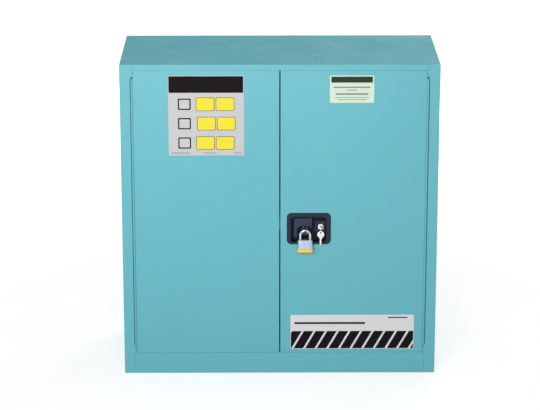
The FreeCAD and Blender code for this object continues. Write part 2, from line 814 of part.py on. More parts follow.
def door_skin(name, side):
    """Outer skin of a door: a sheet with four edges folded back."""
    body = new_body(name)
    x0, x1 = door_x(side)
    prism(body, name + "_block", "XZ", [rectangle(x0, door_low, x1, door_high)], front, door_back)
    inside = rectangle(x0 + gauge, door_low + gauge, x1 - gauge, door_high - gauge)
    prism(body, name + "_hollow", "XZ", [inside], front + gauge, door_back, True)
    fillet(body, name + "_edge_round", edge_round, lambda box: at(box.YMax, front) and (
        at(box.XMax, x0) or at(box.XMin, x1) or at(box.ZMax, door_low) or at(box.ZMin, door_high)))
    return body


def door_liner(name, side):
    """Inner face of a door: a shallow pan that nests in the skin."""
    body = new_body(name)
    x0, x1 = door_x(side)
    x0, x1, z0, z1 = x0 + gauge, x1 - gauge, door_low + gauge, door_high - gauge
    near = door_back - liner_flange
    prism(body, name + "_block", "XZ", [rectangle(x0, z0, x1, z1)], near, door_back)
    inside = rectangle(x0 + gauge, z0 + gauge, x1 - gauge, z1 - gauge)
    prism(body, name + "_hollow", "XZ", [inside], near, door_back - gauge, True)
    return body


def centre_bolt_window(body, name, low, high):
    """The hole for the centre bolt, through the edges where the doors meet."""
    hole = around(bolt_y + rod_gauge / 2, bolt_z, rod_gauge + 4 * rod_fit, bolt_height + 4 * rod_fit)
    prism(body, name, "YZ", [hole], low, high, True)


def doors():
    left_edge, right_edge = -meeting_gap / 2, meeting_gap / 2
    left_skin = door_skin("left_door_skin", -1)
    centre_bolt_window(left_skin, "left_skin_bolt_window", left_edge - gauge, left_edge)
    left_liner = door_liner("left_door_liner", -1)
    centre_bolt_window(left_liner, "left_liner_bolt_window", left_edge - 2 * gauge, left_edge - gauge)
    right_skin = door_skin("right_door_skin", 1)
    prism(right_skin, "handle_opening", "XZ", [tub_outline()], front, front + gauge, True)
    centre_bolt_window(right_skin, "right_skin_bolt_window", right_edge, right_edge + gauge)
    bolt_hole(right_skin, "skin_top_bolt_hole", door_high - gauge, door_high, top_rod_x)
    bolt_hole(right_skin, "skin_bottom_bolt_hole", door_low, door_low + gauge, bottom_rod_x)
    right_liner = door_liner("right_door_liner", 1)
    centre_bolt_window(right_liner, "right_liner_bolt_window", right_edge + gauge, right_edge + 2 * gauge)
    bolt_hole(right_liner, "liner_top_bolt_hole", door_high - 2 * gauge, door_high - gauge, top_rod_x)
    bolt_hole(right_liner, "liner_bottom_bolt_hole", door_low + gauge, door_low + 2 * gauge, bottom_rod_x)


def centre_strike():
    """Plate inside the left door's edge, round the hole that the centre bolt would enter."""
    body = new_body("centre_strike")
    edge = -meeting_gap / 2 - 2 * gauge
    middle = bolt_y + rod_gauge / 2
    low, high = bolt_z - strike_width / 2, bolt_z + strike_width / 2
    plate = rectangle(middle - strike_front, low, door_back - gauge, high)
    hole = around(middle, bolt_z, rod_gauge + 4 * rod_fit, bolt_height + 4 * rod_fit)
    prism(body, "centre_strike_plate", "YZ", [plate, hole], edge - strike_gauge, edge)


def hinge_leaf(name, side, on_door):
    """One leaf of a continuous hinge, with every other knuckle of the barrel."""
    body = new_body(name)
    near, far = (door_edge, door_edge + leaf_gauge) if on_door else (opening_edge - leaf_gauge, opening_edge)
    near, far = across_wall(side, near, far)
    x = hinge_x * side
    high = hinge_low + hinge_length
    prism(body, name + "_leaf", "XY", [rectangle(near, hinge_y, far, hinge_y + leaf_depth)], hinge_low, high)
    prism(body, name + "_barrel", "XY", [], hinge_low, high, False, [(x, hinge_y, barrel_radius)])
    reach = 2 * (barrel_radius + barrel_clearance)
    first = hinge_low + (knuckle * 0 if on_door else knuckle)
    gap = prism(body, name + "_knuckle_gap", "XY", [around(x, hinge_y, reach, reach)],
                first - barrel_clearance / 2, first + knuckle + barrel_clearance / 2, True)
    repeat(body, name + "_knuckle_gaps", gap, "Z_Axis", 2 * knuckle, knuckle_pairs)
    bore = (x, hinge_y, hinge_pin_radius + pin_clearance)
    prism(body, name + "_pin_bore", "XY", [], hinge_low, high, True, [bore])


def hinges():
    for word, side in (("left", -1), ("right", 1)):
        hinge_leaf(f"{word}_hinge_frame_leaf", side, False)
        hinge_leaf(f"{word}_hinge_door_leaf", side, True)
        start = (hinge_x * side, hinge_y, hinge_low)
        piece(f"{word}_hinge_pin", cylinder(f"{word}_hinge_pin", start, hinge_pin_radius, hinge_length))


# Lock in the right of the recess, with its key, a ring and a spare key
lock_x = size("lock_x", 141.3)
lock_z = size("lock_z", 540.5)
housing_width = size("housing_width", 36)
housing_height = size("housing_height", 40)
housing_sink = size("housing_sink", 4)
housing_left = size("housing_left", 1.8)
housing_up = size("housing_up", 1.5)
housing_corner = size("housing_corner", 3)
lock_flange_radius = size("lock_flange_radius", 9.5)
lock_barrel_radius = size("lock_barrel_radius", 8)
lock_plug_radius = size("lock_plug_radius", 5.5)
lock_flange = size("lock_flange", 2)
cam_gauge = size("cam_gauge", 1.5)
cam_length = size("cam_length", 18)
cam_half = size("cam_half", 5)
cam_rim = size("cam_rim", 1)
cam_gap = size("cam_gap", 1.2)
barrel_end_gap = size("barrel_end_gap", 0.1)
lock_hole_fit = size("lock_hole_fit", 0.1)
keyway_end = size("keyway_end", 1)
key_gauge = size("key_gauge", 2)
key_blade = size("key_blade", 7)
key_blade_length = size("key_blade_length", 20)
key_fit = size("key_fit", 0.2)
key_bow_radius = size("key_bow_radius", 12)
key_hole_radius = size("key_hole_radius", 3)
key_neck = size("key_neck", 3)
key_rim = size("key_rim", 3)
ring_radius = size("ring_radius", 7)
ring_wire = size("ring_wire", 0.8)
ring_forward = size("ring_forward", 5)
hang_gap = size("hang_gap", 0.3)
spare_blade_length = size("spare_blade_length", 25)

lock_face = front + housing_sink
lock_front = lock_face - lock_flange
cam_y = rotor_y + cam_gap
bow_y = lock_front - key_neck - key_bow_radius
key_hole_y = bow_y - key_bow_radius + key_rim + key_hole_radius
ring_z = lock_z + key_gauge / 2 + hang_gap + ring_wire - ring_radius
ring_y = key_hole_y - ring_forward
spare_hole_z = ring_z - ring_radius - key_hole_radius + ring_wire + hang_gap
spare_bow_z = spare_hole_z + key_hole_radius + key_rim - key_bow_radius

# Padlock and the lug that it hangs from
padlock_x = size("padlock_x", 87.5)
padlock_forward = size("padlock_forward", 15)
shackle_radius = size("shackle_radius", 4.75)
shackle_bend = size("shackle_bend", 16.75)
crown_z = size("crown_z", 531.85)
shackle_clear_height = size("shackle_clear_height", 32.25)
shackle_long = size("shackle_long", 24)
shackle_short = size("shackle_short", 9)
shackle_fit = size("shackle_fit", 0.3)
padlock_width = size("padlock_width", 52)
padlock_thick = size("padlock_thick", 24)
padlock_laminated = size("padlock_laminated", 32)
padlock_corner = size("padlock_corner", 4)
laminae = 8
lamina_gap = size("lamina_gap", 0.8)
bumper_height = size("bumper_height", 13.5)
bumper_proud = size("bumper_proud", 1.5)
bumper_bevel = size("bumper_bevel", 2)
leg_end_room = size("leg_end_room", 2)
lug_gauge = size("lug_gauge", 4)
lug_clearance = size("lug_clearance", 1)
lug_rim = size("lug_rim", 3)
lug_foot_width = size("lug_foot_width", 20)
lug_foot_drop = size("lug_foot_drop", 26)
lug_corner = size("lug_corner", 6)
padlock_y = front - padlock_forward
padlock_top = crown_z - shackle_clear_height
lamina_pitch = padlock_laminated / laminae
lug_hole_z = crown_z + lug_clearance - hang_gap


def tub_outline():
    """Outside of the cup's tub, which fills the opening in the door's skin."""
    wide, tall = recess_width + 2 * cup_wall, recess_height + 2 * cup_wall
    return around(recess_x, recess_z, wide, tall, recess_corner + cup_wall)


def handle_cup():
    """Moulded recess with its bezel, the lock housing, and the ear under the paddle's pin."""
    body = new_body("handle_cup")
    face = front - cup_proud
    bezel = around(cup_x, cup_z, cup_width, cup_height, cup_corner)
    prism(body, "cup_bezel", "XZ", [bezel], face, front)
    prism(body, "cup_tub", "XZ", [tub_outline()], front - cup_proud / 2, plate_y)
    hollow = around(recess_x, recess_z, recess_width, recess_height, recess_corner)
    prism(body, "cup_recess", "XZ", [hollow], face, cup_floor, True)
    chamfer(body, "bezel_bevel", rim_bevel, lambda box: at(box.YMin, face) and at(box.YMax, face))
    rooted = cup_floor + cup_wall / 2
    housing_z = lock_z + housing_up
    housing = around(lock_x - housing_left, housing_z, housing_width, housing_height, housing_corner)
    prism(body, "lock_housing", "XZ", [housing], lock_face, rooted)
    ledge_low = housing_z + housing_height / 2 - cup_wall / 2
    ledge_high = recess_z + recess_height / 2 - ledge_gap
    ledge = rectangle(lock_x - ledge_left, ledge_low, lock_x + ledge_right, ledge_high)
    prism(body, "lock_ledge", "XZ", [ledge], front + ledge_sink, rooted)
    ear = rectangle(pivot_x - ear_width / 2, ear_low, pivot_x + ear_width / 2, ear_top)
    prism(body, "pin_ear", "XZ", [ear], pivot_y - ear_width / 2, rooted)
    prism(body, "lock_bore", "XZ", [], lock_face, plate_y, True, [(lock_x, lock_z, lock_barrel_radius)])
    pin = (pivot_x, pivot_y, paddle_pin_radius)
    prism(body, "pin_bore", "XY", [], ear_low, cup_z + cup_height / 2, True, [pin])
    arm_slot(body, "cup_arm_slot", cup_floor, plate_y)


paddle_low = cup_z + paddle_notch
paddle_high = cup_z + paddle_top
ear_top = paddle_low
ear_low = paddle_low - ear_height


def arm_slot(body, name, low, high):
    """The slot that the paddle's arm and the rotor's tab work in."""
    tall = arm_height + 2 * slot_margin
    near, far = rotor_x - tab_gauge / 2 - bolt_throw - slot_side, pivot_x + ball_radius + slot_side
    slot = rectangle(near, arm_z - tall / 2, far, arm_z + tall / 2)
    prism(body, name, "XZ", [slot], low, high, True)


def paddle():
    """Pull handle: a plate that swings out on a vertical pin, with an arm through the cup's floor."""
    body = new_body("paddle")
    left = pivot_x - paddle_reach
    leg, right, foot = left + paddle_leg, pivot_x + paddle_tail, cup_z - paddle_foot
    face = pivot_y - paddle_set
    outline = [
        (left, foot, foot_round), (leg, foot), (leg, paddle_low, arch_round),
        (right, paddle_low), (right, paddle_high, paddle_corner), (left, paddle_high, paddle_corner),
    ]
    prism(body, "paddle_plate", "XZ", [outline], face, face + paddle_gauge)
    lip = rectangle(left, foot + paddle_corner, left + finger_lip, paddle_high - paddle_corner)
    prism(body, "finger_lip", "XZ", [lip], face + paddle_gauge / 2, face + finger_lip_depth)
    barrel = (pivot_x, pivot_y, paddle_barrel)
    prism(body, "paddle_barrel", "XY", [], paddle_low + hang_gap, paddle_high, False, [barrel])
    arm = around(pivot_x, pivot_y + arm_length / 2, arm_width, arm_length)
    prism(body, "paddle_arm", "XY", [arm], arm_z - arm_height / 2, arm_z + arm_height / 2)
    ball = body.newObject("PartDesign::AdditiveSphere", "paddle_ball")
    ball.AttachmentSupport = [(origin_part(body, "XY_Plane"), "")]
    ball.MapMode = "FlatFace"
    bind(ball, "Radius", ball_radius)
    for axis, length in zip("xyz", (pivot_x, pivot_y + arm_length, arm_z)):
        bind(ball, f"AttachmentOffset.Base.{axis}", length)
    bore = (pivot_x, pivot_y, paddle_pin_radius + pin_clearance)
    prism(body, "paddle_bore", "XY", [], paddle_low, paddle_high, True, [bore])
    pin_low, pin_high = ear_low, recess_z + recess_height / 2 + cup_wall
    pin = cylinder("paddle_pin", (pivot_x, pivot_y, pin_low), paddle_pin_radius, pin_high - pin_low)
    piece("paddle_pin", pin)


def latch_backplate():
    """Steel plate behind the cup that carries the rotor."""
    body = new_body("latch_backplate")
    wide, tall = recess_width + 2 * plate_margin, recess_height + 2 * plate_margin
    outline = around(recess_x, recess_z, wide, tall, plate_corner)
    prism(body, "backplate_sheet", "XZ", [outline], plate_y, plate_y + plate_gauge)
    arm_slot(body, "backplate_arm_slot", plate_y, plate_y + plate_gauge)
    holes = [(lock_x, lock_z, lock_barrel_radius + lock_hole_fit), (rotor_x, rotor_z, rivet_radius)]
    prism(body, "backplate_holes", "XZ", [], plate_y, plate_y + plate_gauge, True, holes)
    head_y = rod_face - layer_gap / 2
    rivet = fuse("rotor_rivet", [
        cylinder("rivet_shank", (rotor_x, plate_y, rotor_z), rivet_radius, rod_face - plate_y, "Y"),
        cylinder("rivet_head", (rotor_x, head_y, rotor_z), rivet_radius + rivet_rim, rivet_head, "Y"),
    ])
    piece("rotor_rivet", rivet)


def rotor():
    """Four-armed plate: the paddle pushes its tab, and its pins draw the three bolts."""
    body = new_body("rotor")
    reach, half = rotor_arm + rotor_half, rotor_half
    x, z = rotor_x, rotor_z
    tab, top = x + tab_gauge / 2, arm_z + arm_height / 2
    outline = [
        (x - reach, z - half), (x - half, z - half), (x - half, z - reach), (x + half, z - reach),
        (x + half, z - half), (x + reach, z - half), (x + reach, z + half), (tab, z + half),
        (tab, top), (x - half, top), (x - half, z + half), (x - reach, z + half),
    ]
    far = rotor_y + rotor_gauge
    prism(body, "rotor_plate", "XZ", [outline], rotor_y, far)
    fold = rectangle(tab - tab_gauge, arm_z - arm_height / 2, tab, top)
    prism(body, "rotor_tab", "XZ", [fold], plate_y + tab_gap, rotor_y)
    side_pins = [(x - rotor_arm, z, rotor_pin_radius), (x + rotor_arm, z, rotor_pin_radius)]
    prism(body, "rotor_rod_pins", "XZ", [], far, rod_face + rod_gauge, False, side_pins)
    low_pin = [(x, z - rotor_arm, rotor_pin_radius)]
    prism(body, "rotor_bolt_pin", "XZ", [], far, bolt_y + rod_gauge, False, low_pin)
    prism(body, "rotor_bore", "XZ", [], rotor_y, far, True, [(x, z, rivet_radius + pin_clearance)])


def slotted_rod(name, x, low, high):
    """A flat bolt rod, slotted across for the rotor's pin."""
    body = new_body(name)
    rod = rectangle(x - rod_width / 2, low, x + rod_width / 2, high)
    prism(body, name + "_bar", "XZ", [rod], rod_face, rod_face + rod_gauge)
    play = rotor_pin_radius + slot_play
    slot = around(x, rotor_z, 2 * play, 2 * (rotor_pin_radius + rod_fit))
    prism(body, name + "_slot", "XZ", [slot], rod_face, rod_face + rod_gauge, True)


def centre_bolt():
    """The bolt that locks the two doors together: it steps up from the rotor to its own level."""
    body = new_body("centre_bolt")
    half = rod_width / 2
    z = rotor_z - rotor_arm
    low, high = bolt_z - bolt_height / 2, bolt_z + bolt_height / 2
    nose = meeting_gap / 2 - bolt_nose
    step = meeting_gap / 2 + bolt_step
    inner, end = step + bolt_step_width, rotor_x + half
    outline = [
        (step, z - half), (end, z - half), (end, z + half), (inner, z + half), (inner, high),
        (nose, high), (nose, low), (step, low),
    ]
    prism(body, "centre_bolt_bar", "XZ", [outline], bolt_y, bolt_y + rod_gauge)
    play = rotor_pin_radius + slot_play
    slot = around(rotor_x, z, 2 * (rotor_pin_radius + rod_fit), 2 * play)
    prism(body, "centre_bolt_slot", "XZ", [slot], bolt_y, bolt_y + rod_gauge, True)


def guide(name, low, high, rim):
    """A block from the liner round a stretch of bolt, with its rim across or up and down."""
    across, tall = rim
    fit_across, fit_tall = (rod_fit, 0) if across else (0, rod_fit)
    solid = block(name + "_body", (low[0] - across, low[1] - guide_roof, low[2] - tall),
                  (high[0] + across, door_back - gauge, high[2] + tall))
    way = block(name + "_way", (low[0] - fit_across, low[1] - rod_fit, low[2] - fit_tall),
                (high[0] + fit_across, high[1] + rod_fit, high[2] + fit_tall))
    return cut(name, solid, [way])


def rod_guides():
    """Guides on the door's liner that the three bolts slide through."""
    guides = []
    half = guide_height / 2
    rods = (("top", top_rod_x, door_high, 1), ("bottom", bottom_rod_x, door_low, -1))
    for name, x, end, way in rods:
        levels = (("end", end - way * guide_near_end), ("rotor", rotor_z + way * guide_near_rotor))
        for word, z in levels:
            low = (x - rod_width / 2, rod_face, z - half)
            high = (x + rod_width / 2, rod_face + rod_gauge, z + half)
            guides.append(guide(f"{name}_{word}_guide", low, high, (guide_rim, 0)))
    x = meeting_gap / 2 + centre_guide_in
    low = (x - half, bolt_y, bolt_z - bolt_height / 2)
    high = (x + half, bolt_y + rod_gauge, bolt_z + bolt_height / 2)
    guides.append(guide("centre_guide", low, high, (0, guide_rim)))
    piece("rod_guides", fuse("rod_guides", guides))


def lock():
    """Cylinder lock: a flanged barrel, a plug with a level keyway, and a cam behind."""
    barrel_end = cam_y - barrel_end_gap
    barrel = fuse("lock_barrel", [
        cylinder("lock_flange", (lock_x, lock_front, lock_z), lock_flange_radius, lock_flange, "Y"),
        cylinder("lock_shell", (lock_x, lock_face, lock_z), lock_barrel_radius, barrel_end - lock_face, "Y"),
    ])
    bore = cylinder("lock_plug_bore", (lock_x, lock_front, lock_z), lock_plug_radius + pin_clearance,
                    barrel_end - lock_front, "Y")
    piece("lock_cylinder", cut("lock_cylinder", barrel, [bore]))
    start = (lock_x, lock_front, lock_z)
    plug = cylinder("lock_plug_solid", start, lock_plug_radius, cam_y - lock_front, "Y")
    half_wide, half_tall = key_blade / 2 + key_fit, key_gauge / 2 + key_fit
    keyway = block("keyway", (lock_x - half_wide, lock_front, lock_z - half_tall),
                   (lock_x + half_wide, lock_front + key_blade_length + keyway_end, lock_z + half_tall))
    piece("lock_plug", cut("lock_plug", plug, [keyway]))
    piece("lock_cam", fuse("lock_cam", [
        cylinder("cam_hub", (lock_x, cam_y, lock_z), cam_half + cam_rim, cam_gauge, "Y"),
        block("cam_arm", (lock_x, cam_y, lock_z - cam_half),
              (lock_x + cam_length, cam_y + cam_gauge, lock_z + cam_half)),
    ]))


def keys():
    """The key in the lock, held level, with a ring through its bow that carries the spare."""
    body = new_body("key")
    low, high = lock_z - key_gauge / 2, lock_z + key_gauge / 2
    half = key_blade / 2
    blade = rectangle(lock_x - half, bow_y, lock_x + half, lock_front + key_blade_length)
    prism(body, "key_blade", "XY", [blade], low, high)
    prism(body, "key_bow", "XY", [], low, high, False, [(lock_x, bow_y, key_bow_radius)])
    prism(body, "key_hole", "XY", [], low, high, True, [(lock_x, key_hole_y, key_hole_radius)])
    start = (lock_x - ring_wire, ring_y, ring_z)
    ring = cylinder("ring_disc", start, ring_radius + ring_wire, 2 * ring_wire, "X")
    inside = cylinder("ring_inside", start, ring_radius - ring_wire, 2 * ring_wire, "X")
    piece("key_ring", cut("key_ring", ring, [inside]))
    spare = new_body("spare_key")
    near, far = ring_y - key_gauge / 2, ring_y + key_gauge / 2
    end = spare_bow_z - key_bow_radius - spare_blade_length
    shank = rectangle(lock_x - key_blade / 2, end, lock_x + key_blade / 2, spare_bow_z)
    prism(spare, "spare_blade", "XZ", [shank], near, far)
    prism(spare, "spare_bow", "XZ", [], near, far, False, [(lock_x, spare_bow_z, key_bow_radius)])
    prism(spare, "spare_hole", "XZ", [], near, far, True, [(lock_x, spare_hole_z, key_hole_radius)])


def padlock_lug():
    """Steel lug on the cup's floor, through the paddle's notch, that the padlock hangs from."""
    hole_radius = shackle_radius + lug_clearance
    reach = hole_radius + lug_rim
    body = new_body("padlock_lug")
    half = lug_foot_width / 2
    foot = rectangle(padlock_x - half, lug_hole_z - lug_foot_drop, padlock_x + half, lug_hole_z + reach)
    prism(body, "lug_foot", "XZ", [foot], cup_floor - plate_gauge, cup_floor)
    nose = rectangle(padlock_y - reach, lug_hole_z - reach, cup_floor, lug_hole_z + reach)
    prism(body, "lug_plate", "YZ", [nose], padlock_x - lug_gauge / 2, padlock_x + lug_gauge / 2)
    fillet(body, "lug_round", lug_corner, lambda box: box.XLength > lug_gauge.number / 2 and (
        at(box.YMin, padlock_y - reach) and at(box.YMax, padlock_y - reach)))
    hole = (padlock_y, lug_hole_z, hole_radius)
    prism(body, "lug_hole", "YZ", [], padlock_x - lug_gauge / 2, padlock_x + lug_gauge / 2, True, [hole])


def padlock():
    """Laminated padlock, hung locked: shackle, laminated body and a moulded bumper."""
    arch_z = crown_z - shackle_bend
    arch = document.addObject("Part::Torus", "shackle_arch")
    arch.Placement = FreeCAD.Placement(FreeCAD.Vector(), FreeCAD.Rotation(FreeCAD.Vector(1, 0, 0), 90))
    arch.Angle3 = 180
    bind(arch, "Radius1", shackle_bend)
    bind(arch, "Radius2", shackle_radius)
    settle(arch, padlock_x, padlock_y, arch_z)
    long_x, short_x = padlock_x - shackle_bend, padlock_x + shackle_bend
    long_end, short_end = padlock_top - shackle_long, padlock_top - shackle_short
    legs = [
        cylinder("shackle_long_leg", (long_x, padlock_y, long_end), shackle_radius, arch_z - long_end),
        cylinder("shackle_short_leg", (short_x, padlock_y, short_end), shackle_radius, arch_z - short_end),
    ]
    piece("padlock_shackle", fuse("padlock_shackle", [arch] + legs))
    body = new_body("padlock_body")
    low = padlock_top - padlock_laminated
    wide, thick = padlock_width - lamina_gap, padlock_thick - lamina_gap
    core = cut_corners(padlock_x, padlock_y, wide, thick, padlock_corner)
    plate = cut_corners(padlock_x, padlock_y, padlock_width, padlock_thick, padlock_corner)
    prism(body, "padlock_core", "XY", [core], low, padlock_top)
    lamina = prism(body, "padlock_lamina", "XY", [plate], low, low + lamina_pitch - lamina_gap)
    repeat(body, "padlock_laminae", lamina, "Z_Axis", lamina_pitch, laminae)
    for word, x, end in (("long", long_x, long_end), ("short", short_x, short_end)):
        hole = (x, padlock_y, shackle_radius + shackle_fit)
        prism(body, f"{word}_leg_bore", "XY", [], end - leg_end_room, padlock_top, True, [hole])
    bumper = new_body("padlock_bumper")
    wide, thick = padlock_width + 2 * bumper_proud, padlock_thick + bumper_proud
    outline = cut_corners(padlock_x, padlock_y, wide, thick, padlock_corner)
    prism(bumper, "bumper_block", "XY", [outline], low - bumper_height, low)
    chamfer(bumper, "bumper_bevel", bumper_bevel, lambda box: at(box.ZMax, low - bumper_height))


side_panel("left_side_panel", -1)
side_panel("right_side_panel", 1)
top_panel()
back_panel()
bottom_panel()
sill_rail()
side_liner("left_liner", -1)
side_liner("right_liner", 1)
rear_liner()
top_liner()
sump_pan()
frame_strikes()
shelf_hangers()
shelf()
shelf_tray()
vent("left")
vent("right")
grounding_bolt()
levelling_feet()
doors()
centre_strike()
hinges()
handle_cup()
padlock_lug()
paddle()
latch_backplate()
rotor()
slotted_rod("top_rod", top_rod_x, rotor_z - rod_width / 2, door_high - rod_end_gap)
slotted_rod("bottom_rod", bottom_rod_x, door_low + rod_end_gap, rotor_z + rod_width / 2)
centre_bolt()
rod_guides()
lock()
keys()
padlock()

document.recompute()
failed = [item.Label for item in document.Objects if "Invalid" in item.State or "Error" in item.State]
if failed:
    raise RuntimeError(f"failed features: {failed}")
for part in subparts:
    if part.Shape.isNull() or not part.Shape.isValid():
        raise RuntimeError(f"bad shape: {part.Label}")
os.makedirs("parts", exist_ok=True)
for part in subparts:
    part.Shape.exportStep(f"parts/{part.Label}.step")
    print(part.Label, "solids", len(part.Shape.Solids), "volume", round(part.Shape.Volume, 1))
print("sub-parts", len(subparts))
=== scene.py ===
# A two-door steel safety cabinet for corrosives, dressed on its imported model.
# Lengths are in metres. Those written in millimetres are multiplied by MM.
import math

import bmesh
import bpy
from mathutils import Matrix, Vector


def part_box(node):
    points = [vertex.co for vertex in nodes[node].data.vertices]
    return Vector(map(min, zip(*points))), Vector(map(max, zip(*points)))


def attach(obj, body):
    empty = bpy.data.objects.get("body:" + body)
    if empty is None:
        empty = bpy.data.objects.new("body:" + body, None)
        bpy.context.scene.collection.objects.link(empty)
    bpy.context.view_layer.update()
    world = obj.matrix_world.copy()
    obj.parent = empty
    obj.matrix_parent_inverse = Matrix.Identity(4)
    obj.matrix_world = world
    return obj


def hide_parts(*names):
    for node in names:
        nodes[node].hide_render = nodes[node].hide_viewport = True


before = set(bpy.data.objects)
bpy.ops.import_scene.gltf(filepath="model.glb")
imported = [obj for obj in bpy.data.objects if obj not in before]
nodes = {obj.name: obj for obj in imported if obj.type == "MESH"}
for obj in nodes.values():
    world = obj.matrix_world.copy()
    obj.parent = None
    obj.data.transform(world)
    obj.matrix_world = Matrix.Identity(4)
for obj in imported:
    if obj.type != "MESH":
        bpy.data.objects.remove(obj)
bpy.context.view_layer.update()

MM = 0.001
UP, BACKWARD = (0, 0, 1), (0, 1, 0)
UPRIGHT = Matrix.Rotation(math.pi / 2, 4, "X")
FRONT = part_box("sill_rail")[0].y  # the front faces of the frame and of the doors
FRAME_EDGE = 0.508  # from the middle to the inner edge of each side panel's front flange


# Node trees

def add_node(tree, kind, inputs=None, **settings):
    """Adds a shader node; an input is a number, a colour or another node's output."""
    node = tree.nodes.new("ShaderNode" + kind)
    for name, value in settings.items():
        setattr(node, name, value)
    for key, value in (inputs or {}).items():
        feed(tree, node.inputs[key], value)
    return node


def feed(tree, socket, value):
    """Links a socket to another node's output, or sets it to a plain value."""
    if isinstance(value, bpy.types.NodeSocket):
        tree.links.new(value, socket)
    else:
        socket.default_value = value


def calc(tree, operation, first, second=0.0, clamp=False):
    """Arithmetic on one or two values."""
    inputs = {0: first, 1: second}
    return add_node(tree, "Math", inputs, operation=operation, use_clamp=clamp).outputs[0]


def product(tree, *factors):
    """Masks multiplied, kept between 0 and 1."""
    result = factors[0]
    for factor in factors[1:]:
        result = calc(tree, "MULTIPLY", result, factor, clamp=True)
    return result


def layered(tree, broad, fine, share):
    """Two patterns added: the broad one by its share, and the fine one by the rest."""
    broad = calc(tree, "MULTIPLY", broad, share)
    fine = calc(tree, "MULTIPLY", fine, 1.0 - share)
    return calc(tree, "ADD", broad, fine)


def vector(tree, operation, *values):
    """Vector arithmetic; a length, a distance or a dot product comes out as a number."""
    node = add_node(tree, "VectorMath", dict(enumerate(values)), operation=operation)
    return node.outputs["Value" if operation in ("LENGTH", "DISTANCE", "DOT_PRODUCT") else "Vector"]


def mix_colour(tree, factor, below, above):
    """A blend of two colours: the second one where the factor is one."""
    return add_node(tree, "Mix", {0: factor, 6: below, 7: above}, data_type="RGBA").outputs[2]


def mix_value(tree, factor, low, high):
    """A blend of two numbers: the second one where the factor is one."""
    return add_node(tree, "Mix", {0: factor, 2: low, 3: high}, data_type="FLOAT").outputs[0]


def remap(tree, value, low, high, to_low=0.0, to_high=1.0):
    """One span of a value stretched over another, and held inside it."""
    inputs = {0: value, 1: low, 2: high, 3: to_low, 4: to_high}
    return add_node(tree, "MapRange", inputs, clamp=True).outputs[0]


def between(tree, value, low, high, blur):
    """One inside a span, falling to nothing over a blur at both ends."""
    rising = remap(tree, value, low - blur, low + blur)
    return product(tree, rising, remap(tree, value, high - blur, high + blur, 1.0, 0.0))


def own_place(tree):
    """The surface's place on its own piece."""
    return add_node(tree, "TexCoord").outputs["Object"]


def facing(tree):
    """The direction that the surface faces."""
    return add_node(tree, "NewGeometry").outputs["Normal"]


def along_axes(tree, value):
    """The X, Y and Z of a vector."""
    return add_node(tree, "SeparateXYZ", {0: value}).outputs


def noise(tree, place, scale, detail=2.0, rough=0.5, warp=0.0):
    """Cloudy noise, from 0 to 1."""
    inputs = {"Vector": place, "Scale": scale, "Detail": detail, "Roughness": rough,
              "Distortion": warp}
    return add_node(tree, "TexNoise", inputs).outputs["Fac"]


def cells(tree, place, scale, feature, output):
    """A pattern of irregular cells."""
    inputs = {"Vector": place, "Scale": scale}
    return add_node(tree, "TexVoronoi", inputs, feature=feature).outputs[output]


def effect(name, inputs, output, build):
    """A shader node group with one output; build gets the tree and the input sockets."""
    group = bpy.data.node_groups.new(name, "ShaderNodeTree")
    for label, default in inputs.items():
        kind = "NodeSocketVector" if isinstance(default, tuple) else "NodeSocketFloat"
        group.interface.new_socket(label, in_out="INPUT", socket_type=kind).default_value = default
    group.interface.new_socket(output, in_out="OUTPUT", socket_type="NodeSocketFloat")
    start = group.nodes.new("NodeGroupInput")
    end = group.nodes.new("NodeGroupOutput")
    group.links.new(build(group, start.outputs), end.inputs[0])
    return group


def use(tree, group, **inputs):
    """Places an effect in a material with the values that it has there."""
    node = tree.nodes.new("ShaderNodeGroup")
    node.node_tree = group
    for name, value in inputs.items():
        feed(tree, node.inputs[name], value)
    return node.outputs[0]


# Effects that several finishes share

def build_tone(tree, into):
    """Slow and fine drift of tone, from 0 to 1."""
    place = own_place(tree)
    slow = noise(tree, place, into["Scale"], 3.0, 0.55)
    fine = noise(tree, place, calc(tree, "MULTIPLY", into["Scale"], 37.0), 2.0, 0.6)
    return layered(tree, slow, fine, 0.7)


def build_wear(tree, into):
    """Edges that a hand or a trolley has rubbed, broken up by noise."""
    rounded = add_node(tree, "Bevel", {"Radius": into["Radius"]}, samples=4).outputs[0]
    edge = remap(tree, vector(tree, "DOT_PRODUCT", rounded, facing(tree)), 0.995, 0.86)
    broken = remap(tree, noise(tree, own_place(tree), into["Scale"], 4.0, 0.65), 0.42, 0.62)
    return product(tree, edge, broken, into["Amount"])


def build_dust_and_top_shade(tree, into):
    """Patches on what faces upwards: dust settles there, and the coat also paints shade there."""
    upward = remap(tree, along_axes(tree, facing(tree))[2], 0.35, 1.0)
    patches = noise(tree, own_place(tree), into["Scale"], 5.0, 0.7, 0.4)
    patches = remap(tree, patches, 0.3, 0.75, 0.35, 1.0)
    return product(tree, upward, patches, into["Amount"])


def build_scuffs(tree, into):
    """Short hairline scratches in two leanings."""
    place = own_place(tree)
    marks = []
    for lean, patch in ((0.5, 5.0), (-0.9, 6.5)):
        inputs = {"Vector": place, "Rotation": (lean, lean, 0.7 * lean)}
        turned = add_node(tree, "VectorRotate", inputs, rotation_type="EULER_XYZ").outputs[0]
        drawn = vector(tree, "MULTIPLY", turned, (1.0, 22.0, 22.0))
        lines = noise(tree, drawn, into["Scale"], 1.0, 0.4)
        line = remap(tree, calc(tree, "ABSOLUTE", calc(tree, "SUBTRACT", lines, 0.5)), 0.018, 0.0)
        marks.append(product(tree, line, remap(tree, noise(tree, place, patch), 0.60, 0.75)))
    return product(tree, calc(tree, "MAXIMUM", *marks), into["Amount"])


def build_peel(tree, into):
    """The gentle dimples of a baked powder coat."""
    place = own_place(tree)
    broad = noise(tree, place, into["Scale"], 1.0, 0.4)
    fine = noise(tree, place, calc(tree, "MULTIPLY", into["Scale"], 3.7), 2.0, 0.5)
    return layered(tree, broad, fine, 0.75)


